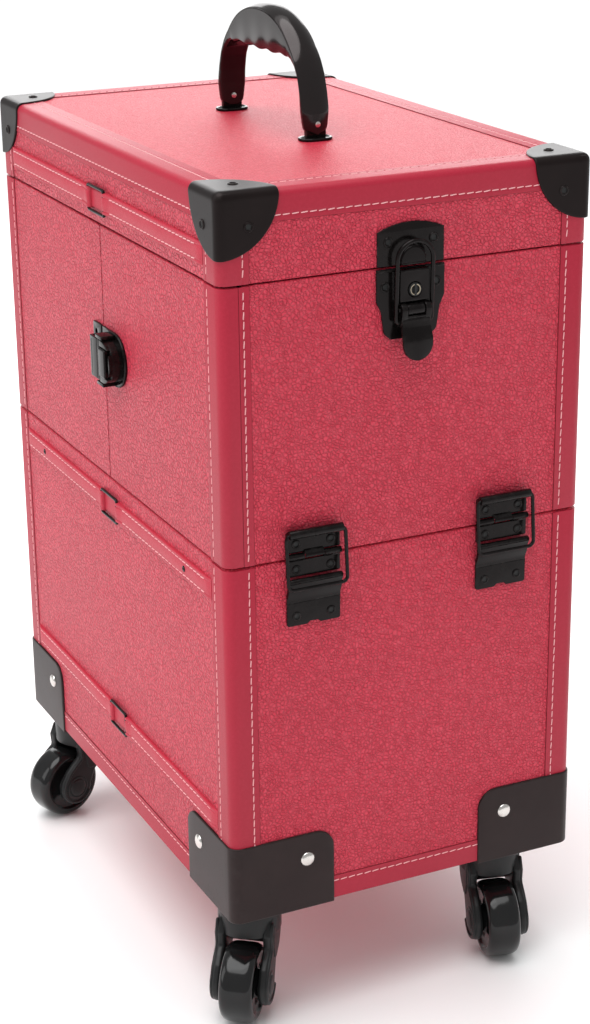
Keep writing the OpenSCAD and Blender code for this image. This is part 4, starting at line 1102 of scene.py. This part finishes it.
# ---------------------------------------------------------------- keyed lid latches
def key_latches():
    base, catch = Piece(), Piece()
    riv, rm = hollow_rivet(2.9, 0.75)
    pz, px = Z2 - 24.0, 5.6
    qz, qx = pz - 7.0, 5.1
    for s, side in ((1, "right"), (-1, "left")):
        to = on_side(s)
        out = rpoly([(-21.5, Z2 - 0.8), (-21.5, Z2 - 19), (-18.6, Z2 - 25), (-17.4, Z2 - 33), (-16.6, Z2 - 38), (-12.5, Z2 - 41.5), (12.5, Z2 - 41.5), (16.6, Z2 - 38), (17.4, Z2 - 33), (18.6, Z2 - 25), (21.5, Z2 - 19), (21.5, Z2 - 0.8)], [0.5, 2.5, 5, 5, 3.5, 2, 2, 3.5, 5, 5, 2.5, 0.5], 5)
        base.add(prof_x([out], 0, 1.25, 0.35), 0, to)
        # bright rolled line along the seam
        base.add(tube([to(1.15, -20.6, Z2 - 1.9), to(1.15, -9.8, Z2 - 1.9)], 0.75, 10), 0)
        base.add(tube([to(1.15, 9.8, Z2 - 1.9), to(1.15, 20.6, Z2 - 1.9)], 0.75, 10), 0)
        base.add(prof_x([rrect(-9.3, 9.3, Z2 - 19.6, Z2 - 1.3, 1.0), circle(0, Z2 - 12.7, 4.15, 32)], 0.6, 6.3, 0.7), 0, to)
        base.add(lathe([(4.3, 1.4), (4.3, 2.0), (0, 2.0), ][:2] + [(4.3, 2.0), (0, 2.0)], 24), 0, lambda x, y, z: to(z - 0.2, x, Z2 - 12.7 + y))
        base.add(tube([to(px, -9.2, pz), to(px, 9.2, pz)], 1.1, 10), 0)
        base.add(prof_y([[(0, pz - 3.4), (px, pz - 3.4)] + arc(px, pz, 3.4, -90, 90, 12) + [(0, pz + 3.4)]], -5.2, 5.2, 0.3), 0, to)
        for a in (-16.2, 16.2):
            base.add(riv, rm, lambda x, y, z: to(1.25 + z, a + x, Z2 - 10.8 + y))
        # lid plate with its arched top and domed hump
        R = 49.3
        a0 = math.degrees(math.asin(21 / R))
        top = arc(0, Z2 - 24.6, R, 90 - a0, 90 + a0, 24)
        catch.add(prof_x([rpoly([(-21, Z2 + 0.7), (21, Z2 + 0.7)], 0) + top], 0, 1.25, 0.4), 0, to)
        hump = [(-8, Z2 + 1.2), (8, Z2 + 1.2)] + arc(0, Z2 + 3.8, 8.0, 0, 180, 24)
        catch.add(prof_x([hump], 0.6, 5.1, 1.2, 4), 0, to)
        catch.add(tube([to(4.6, -7.0, Z2 + 1.9), to(4.6, 7.0, Z2 + 1.9)], 0.8, 10), 0)
        for a in (-14.3, 14.3):
            catch.add(riv, rm, lambda x, y, z: to(1.25 + z, a + x, Z2 + 14.3 + y))
        # lever
        lev = Piece()
        for a, b in ((5.7, 9.3), (-9.3, -5.7)):
            cheek = arc(px, pz, 4.0, -20, 170, 12) + arc(qx, qz, 2.8, 190, 340, 10)
            lev.add(prof_y([cheek], a, b, 0.3), 0, to)
        # bent blade: narrow top, bend, rounded tip
        prof = [(7.6, pz - 3.6, 8.6), (8.4, pz - 4.4, 8.7), (8.55, pz - 6.0, 8.9), (8.6, pz - 9.4, 9.2), (9.2, pz - 12.2, 9.4), (10.4, pz - 14.8, 9.5), (11.0, pz - 16.8, 9.5), (11.1, pz - 19.4, 9.4)]
        for k in range(1, 9):
            a = k / 8 * math.pi / 2
            prof.append((11.1, pz - 19.4 - 9.3 * math.sin(a), max(9.35 * math.cos(a), 0.6)))
        rings = []
        for x, z, w in prof:
            t = 1.5
            sec = [(-w, -t), (-w, -0.5), (-w + 0.15, -0.15), (-w + 0.5, 0), (0, 0.05), (w - 0.5, 0), (w - 0.15, -0.15), (w, -0.5), (w, -t)]
            if w < 1:
                sec = [(a, b) for a, b in sec]
            rings.append([to(x + b, a, z) for a, b in sec])
        lev.add(loft(rings), 0)
        lev.add(tube([to(7.9, -7.9, pz - 3.9), to(7.9, 7.9, pz - 3.9)], 0.85, 10), 0)
        lev.build("key_latch_blade_" + side, [BLACK], "latch_lever_" + side, "black_metal", ["key_latch_lever_" + side], angle=40)
        # wire bail
        tl = math.radians(2.4)
        w, up, pts = 11.2, 34.8, []
        pts.append((0, -6.6))
        loop = [(-7.0, 0), (-w, 0)]
        path = [(-7.2, 0.0), (-9.6, 0.0)] + arc(-9.8, 1.4, 1.4, 270, 180, 5) + [(-w, 6), (-w, 20), (-w, up - 0.5)] + arc(0, up, w, 180, 0, 28) + [(w, 20), (w, 6)] + arc(9.8, 1.4, 1.4, 0, -90, 5) + [(9.6, 0.0), (7.2, 0.0)]
        bail = Piece().add(tube([to(qx + b * math.sin(tl), a, qz + b * math.cos(tl)) for a, b in path], 1.3, 14))
        bail.build("key_latch_wire_" + side, [BLACK], "latch_bail_" + side, "black_metal", ["key_latch_bail_" + side])
        # key plug: bright ring round a near-black floor and keyway bar, painted shade of the keyhole; the outer edge is
        # near-black as well
        pl = Piece()
        v, f = lathe([(3.95, 2.0), (3.95, 6.6), (3.7, 6.95), (3.2, 7.05), (2.7, 6.95), (2.45, 6.6), (2.45, 6.1), (0, 6.1)], 36)
        mats = [1 if max(math.hypot(v[i][0], v[i][1]) for i in fc) < 2.5 or max(math.hypot(v[i][0], v[i][1]) for i in fc) > 3.6 else 0 for fc in f]
        pl.add((v, f), mats, lambda x, y, z: to(z, x, Z2 - 12.7 + y))
        pl.add(prof_x([rrect(-0.7, 0.7, Z2 - 16.3, Z2 - 9.1, 0.3)], 6.0, 7.12, 0.1, 1), 1, to)
        pl.build("key_barrel_" + side, [PLUG, HOLLOW_SHADE], "key_plug_" + side, "bright_metal", ["key_plug_" + side])
    base.build("key_latch_plates", [BLACK, HOLLOW_SHADE], "upper_section", "black_metal", ["key_latch_bases"], angle=40)
    catch.build("key_catch_plates", [BLACK, HOLLOW_SHADE], "lid", "black_metal", ["key_catches"], angle=40)


# ---------------------------------------------------------------- flip latch of the doors
def door_latch():
    lz = Z0 + 308.0

    def to(x, z, d):
        return (x, -HD - d, lz + z)

    def face(loops, d0, d1, bevel=0.3, res=2):
        v, f = plate(loops, d1 - d0, bevel, res)
        return [(x, -HD - d0 - z, lz + y) for x, y, z in v], f
    k = Piece()
    k.add(face([rrect(-15, -1, -17, 17, 1.2), circle(-9.5, 11, 1.9, 24), circle(-9.5, -11, 1.9, 24)], 0, 1.5))
    k.add(face([rrect(-4.2, -1.4, -6, 6, 0.6)], 0.5, 5.0))
    # near-black discs in the plate's two holes: painted shade
    for z in (-11, 11):
        k.add(lathe([(1.9, 0.1), (0, 0.1)], 20), 1, lambda a, b, c: to(-9.5 + a, z + b, c + 0.15))
    k.build("door_latch_keeper_plate", [BLACK, HOLLOW_SHADE], "left_door", "black_metal", ["door_keeper"])

    def d_shape(x0, r, cx=21.0, rc=0.8):
        return rpoly([(x0, -r), (cx, -r)], 0) + arc(cx, 0, r, -90, 90, 28)[1:-1] + [(cx, r), (x0, r)]
    b = Piece()
    b.add(face([d_shape(1.0, 17)], 0, 1.5, 0.5, 3))
    b.add(face([d_shape(17.5, 13.2)], 1.0, 8.1, 0.4, 2))
    # the track of the sliding button, open between four rims
    upper = [(17.5, 9.4)] + arc(21, 0, 13.2, 45.4, 90, 10) + [(17.5, 13.2)]
    b.add(face([upper], 7.6, 10.4, 0.4, 3))
    b.add(face([[(x, -z) for x, z in reversed(upper)]], 7.6, 10.4, 0.4, 3))
    b.add(face([arc(21, 0, 13.2, -30.2, 30.2, 12)], 7.6, 10.4, 0.3, 2))
    b.add(face([rrect(17.5, 18.3, -9.8, 9.8, 0.2)], 7.6, 10.4, 0.2, 2))
    b.add(face([rrect(11.8, 22, 13.5, 16, 0.5)], 1.0, 10.4, 0.5, 2))
    b.add(face([rrect(11.8, 22, -16, -13.5, 0.5)], 1.0, 10.4, 0.5, 2))
    # thin lit rim round the base
    rim = [(9.0, 16.6)] + arc(21.0, 0, 16.6, 90, -90, 32) + [(9.0, -16.6)]
    b.add(tube([to(x, z, 1.45) for x, z in rim], 0.35, 8), 0)
    b.build("door_latch_housing", [BLACK], "right_door", "black_metal", ["door_latch_base"], angle=40)
    h = Piece()
    h.add(face([rrect(1.1, 12.6, -13, 13, 0.8)], 8.2, 10.0, 0.45, 3))
    h.add(face([rrect(1.1, 2.6, -13, 13, 0.5)], 2.2, 9.4, 0.3, 2))
    h.add(tube([to(14.4, -13, 7.8), to(14.4, 13, 7.8)], 2.0, 16), 0)
    h.add(face([rrect(12.0, 14.6, -12.8, 12.8, 0.4)], 7.0, 9.8, 0.4, 2))
    # near-black thin slab between the flap's two panels: painted shade of the groove there
    h.add(face([rrect(3.1, 4.1, -11.6, 11.0, 0.4)], 9.7, 10.06, 0.1, 1), 1)
    h.build("door_latch_flap", [BLACK, HOLLOW_SHADE], "door_hasp", "black_metal", ["door_latch_hasp"])
    u = Piece()
    u.add(face([rrect(18.7, 28.6, -9, 9, 1.5)], 8.3, 11.6, 0.9, 4))
    u.build("door_latch_push", [BLACK], "door_button", "black_metal", ["door_latch_button"])


# ---------------------------------------------------------------- handle
def handle():
    hp, z0, zt, a = Z3 + 9.7, Z3 - 7.0, Z3 + 74.5, 66.5

    def outer(t):
        c, s = math.cos(t), math.sin(t)
        return Vector((a * math.copysign(abs(c) ** (2 / 2.2), c), z0 + (zt - z0) * abs(s) ** (2 / 2.2)))
    # inner outline with finger grooves
    inner = [(57.2, Z3 + 3.6), (57.2, hp), (57.2, Z3 + 18), (56.6, Z3 + 26), (54.6, Z3 + 35), (50.5, Z3 + 41.4), (45, Z3 + 45.4), (40, Z3 + 46.9)]
    xs = [38 - i * 1.0 for i in range(0, 77)]
    groove = [(x, Z3 + 47.2 - 0.6 * math.cos(x * 2 * math.pi / 19) - 0.3) for x in xs]
    pts = inner + groove + [(-x, z) for x, z in reversed(inner)]
    # resample by length
    acc = [0.0]
    for p, q in zip(pts, pts[1:]):
        acc.append(acc[-1] + math.dist(p, q))

    def at(u):
        d = u * acc[-1]
        for i in range(len(acc) - 1):
            if acc[i + 1] >= d - 1e-9:
                k = 0 if acc[i + 1] == acc[i] else (d - acc[i]) / (acc[i + 1] - acc[i])
                return Vector((pts[i][0] + (pts[i + 1][0] - pts[i][0]) * k, pts[i][1] + (pts[i + 1][1] - pts[i][1]) * k))
        return Vector(pts[-1])
    zb = hp - 6.0
    # outer samples from the right foot over the top to the left foot
    out_pts = [(64.9, zb), (64.95, hp)]
    t = math.radians(15)
    while t <= math.radians(165.01):
        o = outer(t)
        if o.y > hp + 3:
            out_pts.append((o.x, o.y))
        t += math.radians(1.5)
    out_pts += [(-64.95, hp), (-64.9, zb)]
    oacc = [0.0]
    for p, q in zip(out_pts, out_pts[1:]):
        oacc.append(oacc[-1] + math.dist(p, q))

    def at_out(u):
        d = u * oacc[-1]
        for i in range(len(oacc) - 1):
            if oacc[i + 1] >= d - 1e-9:
                k = (d - oacc[i]) / max(oacc[i + 1] - oacc[i], 1e-9)
                return Vector((out_pts[i][0] + (out_pts[i + 1][0] - out_pts[i][0]) * k, out_pts[i][1] + (out_pts[i + 1][1] - out_pts[i][1]) * k))
        return Vector(out_pts[-1])
    us = [0, 0.0015, 0.004, 0.0075, 0.012, 0.018, 0.026, 0.036]
    n = 150
    us += [0.036 + (1 - 0.072) * i / n for i in range(1, n)]
    us += [1 - u for u in reversed(us[:8])]
    rings = []
    total = oacc[-1]
    for u in us:
        O, I = at_out(u), at(u)
        T = (O - I).length
        dirv = (O - I).normalized()
        d_end = min(u, 1 - u) * total
        w = 7.7 + 1.2 * min(max((d_end - 6.0) / 10.0, 0), 1) ** 0.8
        rc = 5.6
        if d_end < rc:
            w = w - (rc - math.sqrt(max(0.0, rc * rc - (rc - d_end) ** 2)))
        bulge = min(3.4, T * 0.34)
        sec = []
        for k in range(-12, 13):
            v = k / 12 * (w - 0.25)
            sec.append((T - bulge * (abs(v) / w) ** 2.3, v))
        top_u = T - bulge * ((w - 0.25) / w) ** 2.3
        g = top_u - 0.35
        side = [(g + 0.1, w - 0.05), (g, w - 0.32), (g - 0.35, w - 0.36), (g - 0.5, w - 0.05), (g - 0.9, w)]
        low = max(g - 1.2, 2.4)
        r = min(2.4, low)
        side += [(low, w)]
        side += [(r - r * math.sin(math.radians(b)), w - r + r * math.cos(math.radians(b))) for b in (15, 30, 45, 60, 75, 90)]
        sec = sec + side + [(uu, -vv) for uu, vv in reversed(side)]
        rings.append([(I.x + dirv.x * uu, vv, I.y + dirv.y * uu) for uu, vv in sec])
    p = Piece().add(loft(rings))
    p.build("handle_arch", [PLASTIC], "handle", "black_plastic", ["handle_grip"], angle=45)
    f = Piece()
    for s in (-1, 1):
        foot = rpoly([(-7, -10.5), (7, -10.5), (7, 10.5), (-7, 10.5)], 6.6, 8)
        v, fc = plate([foot], 1.8, 0.6, 3)
        f.add((v, fc), 0, lambda x, y, z: (s * 61 + x, y, Z3 + z))
        f.add(prof_x([[(-6.4, Z3 + 1.5), (6.4, Z3 + 1.5), (6.4, hp)] + arc(0, hp, 6.4, 0, 180, 16)[1:]], -2.0, 2.0, 0.5), 0, lambda x, y, z: (s * 61 + x, y, z))
        shape, mats = hollow_rivet(2.6, 0.5)
        f.add(shape, mats, lambda x, y, z: (s * 61 + x, 7.2 + y * 0.8, Z3 + 1.8 + z))
        f.add(shape, mats, lambda x, y, z: (s * 61 + x, -7.2 + y * 0.8, Z3 + 1.8 + z))
        f.add(lathe([(1.5, -4.3), (1.7, -4.25), (1.7, 4.25), (1.5, 4.3)], 20), 2, lambda x, y, z: (s * 61 + z * 0.96, x, hp + y))
        for e in (-1, 1):
            f.add(lathe([(1.75, 0.0), (1.7, 0.22), (1.2, 0.42), (0, 0.48)], 20), 2, lambda x, y, z: (s * 61 + e * (3.85 + z), x, hp + y))
    f.build("handle_foot_plates", [BLACK, HOLLOW_SHADE, SILVER], "lid", "black_metal", ["handle_feet"], angle=40)


# ---------------------------------------------------------------- casters
CASTERS = {1: (148.0, -92.0, -38.0), 2: (148.0, 78.0, -15.0), 3: (-148.0, -92.0, -72.0), 4: (-148.0, 78.0, 90.0)}


def casters():
    t, r, ci, co, top = 20.0, 24.5, 11.7, 18.1, Z0 - 3.7
    fork = Piece()
    crown = [(0, top - 20.0), (19.1, top - 20.0), (19.5, top - 19.8), (19.6, top - 19.3), (19.6, top - 3.2), (19.3, top - 1.9), (18.6, top - 1.2), (18.0, top - 0.9), (18.0, top - 0.3), (17.6, top), (0, top)]
    fork.add(lathe(crown, 64), 0)
    hub_arc = arc(t, r, 13.0, 34, -176, 30)
    head = [(-8.6, top - 5), (8.6, top - 5), (16.8, top - 18.6), (16.0, r + 21.8), (22.0, r + 17.6), (27.0, r + 13.2)]
    tail = [(3.0, r + 9), (-4.5, r + 14), (-9, r + 21.5), (-14.3, top - 19)]
    cheek = rpoly(head + hub_arc + tail, [3, 3, 3, 4, 5, 6] + [0] * len(hub_arc) + [5, 5, 6, 5], 6)
    for s in (1, -1):
        v, f = plate([cheek], co - ci - 0.7, 2.2, 5)
        fork.add((v, f), 0, lambda x, y, z: (x, s * (ci + z), y))
        # narrow rim along the front edge and round the hub, with a groove behind it
        edge = [(12.0, top - 12), (15.4, top - 19), (14.7, r + 22.6), (15.4, r + 20.2), (21.0, r + 16.2), (25.8, r + 12.0)] + arc(t, r, 11.4, 36, -150, 26)
        fork.add(tube([(x, s * (co - 1.0), z) for x, z in edge], 1.25, 10), 0)
        # raised middle panel of the cheek
        panel = rpoly([(-9.5, top - 15), (11.0, top - 15), (11.6, r + 21), (9.5, r + 12), (5.5, r + 11), (-2.5, r + 16.5), (-6.0, r + 22)], [2, 2, 3, 3, 4, 4, 4], 5)
        v, f = plate([panel], 2.4, 0.9, 4)
        fork.add((v, f), 0, lambda x, y, z: (x, s * (co - 2.4 + z), y))
        # hub boss
        hub = lathe([(8.8, -1.6), (8.7, -0.5), (8.2, -0.15), (7.2, -0.1), (6.6, -0.35), (6.2, 0.1), (5.6, 0.45), (3.0, 0.6), (0, 0.65)], 40)
        fork.add(hub, 0, lambda x, y, z: (t + x, s * (co + z), r + y))
    wall = rpoly([(-15.4, top - 16), (2, top - 16), (2, r + 26), (-1.3, r + 19), (-2.5, r + 15.2), (-4.8, r + 14.5), (-8.9, r + 21.5), (-14.2, top - 19)], [0, 0, 1, 3, 0.8, 0.8, 4, 3], 5)
    fork.add(prof_y([wall], -ci - 0.6, ci + 0.6, 0.4, 2), 0)
    stem = lathe([(5.0, top - 0.5), (5.0, top + 2.7), (4.6, top + 3.0), (0, top + 3.0)], 24)
    fork.add(stem, 0)
    w = 10.5
    half = [(3.1, w - 0.8), (3.1, w + 0.4), (8.2, w + 0.4), (8.8, w - 0.1), (9.2, w - 1.6), (10.0, w - 2.2), (17.4, w - 2.2), (18.2, w - 1.7), (18.9, w - 0.5), (19.6, w - 0.1), (20.6, w), (21.7, w - 0.3), (22.8, w - 1.0), (23.6, w - 2.1), (24.15, w - 3.6), (24.42, w - 5.2), (24.5, w - 6.8), (24.5, 0.6)]
    prof = half + [(a, -b) for a, b in reversed(half)]
    wheel = lathe(prof, 72, closed=True)
    axle = lathe([(0, -ci - 1.2), (2.9, -ci - 1.2), (2.9, ci + 1.2), (0, ci + 1.2)], 20)
    for i, (cx, cy, ang) in CASTERS.items():
        c, s_ = math.cos(math.radians(ang)), math.sin(math.radians(ang))

        def to(x, y, z):
            return (cx + x * c - y * s_, cy + x * s_ + y * c, z)
        p = Piece().add((fork.v, fork.f), fork.m, to)
        p.add(axle, 0, lambda x, y, z: to(t + x, z, r + y))
        p.build("caster_yoke_%d" % i, [HOUSING], "caster_housing_%d" % i, "black_plastic", ["caster_fork_%d" % i], angle=42)
        q = Piece().add(wheel, 0, lambda x, y, z: to(t + x, z, r + y))
        q.build("caster_roller_%d" % i, [TREAD], "wheel_%d" % i, "wheel_plastic", ["caster_wheel_%d" % i], angle=50)
    p = Piece()
    for i, (cx, cy, ang) in CASTERS.items():
        prof = [(5.2, Z0 - 0.1), (5.2, Z0 - 2.6), (5.6, Z0 - 3.0), (18.7, Z0 - 3.0), (19.3, Z0 - 2.6), (19.5, Z0 - 2.0), (19.5, Z0 - 0.1)]
        p.add(lathe(prof, 56, closed=True), 0, lambda x, y, z: (cx + x, cy + y, z))
    p.build("caster_seats", [HOUSING], "lower_section", "black_plastic", ["caster_sockets"], angle=50)


# ---------------------------------------------------------------- carried-over pieces get a finish
def finishes():
    nodes = frame["nodes"]
    table = {"drawer_runners": RAIL, "locating_lip": ALU, "lid_mirror": MIRROR, "hinge_leaves_body": HINGE, "hinge_leaves_lid": HINGE}
    for i in range(1, 5):
        table["drawer_%d" % i] = DRAWER
        table["drawer_knob_%d" % i] = BLACK
    for name, ob in nodes.items():
        m = table.get(name, BLACK)
        if not ob.data.materials:
            ob.data.materials.append(m)
        for slot in ob.material_slots:
            slot.material = m


lower_section()
upper_section()
doors()
lid()
edge_strips()
straps()
brackets()
protectors()
draw_latches()
key_latches()
door_latch()
handle()
casters()
finishes()

vis_box = [list(map(float, p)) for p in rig.bounds()]
with open("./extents.json", "w") as fh:
    json.dump({"cad": cad_box, "visual": vis_box}, fh)
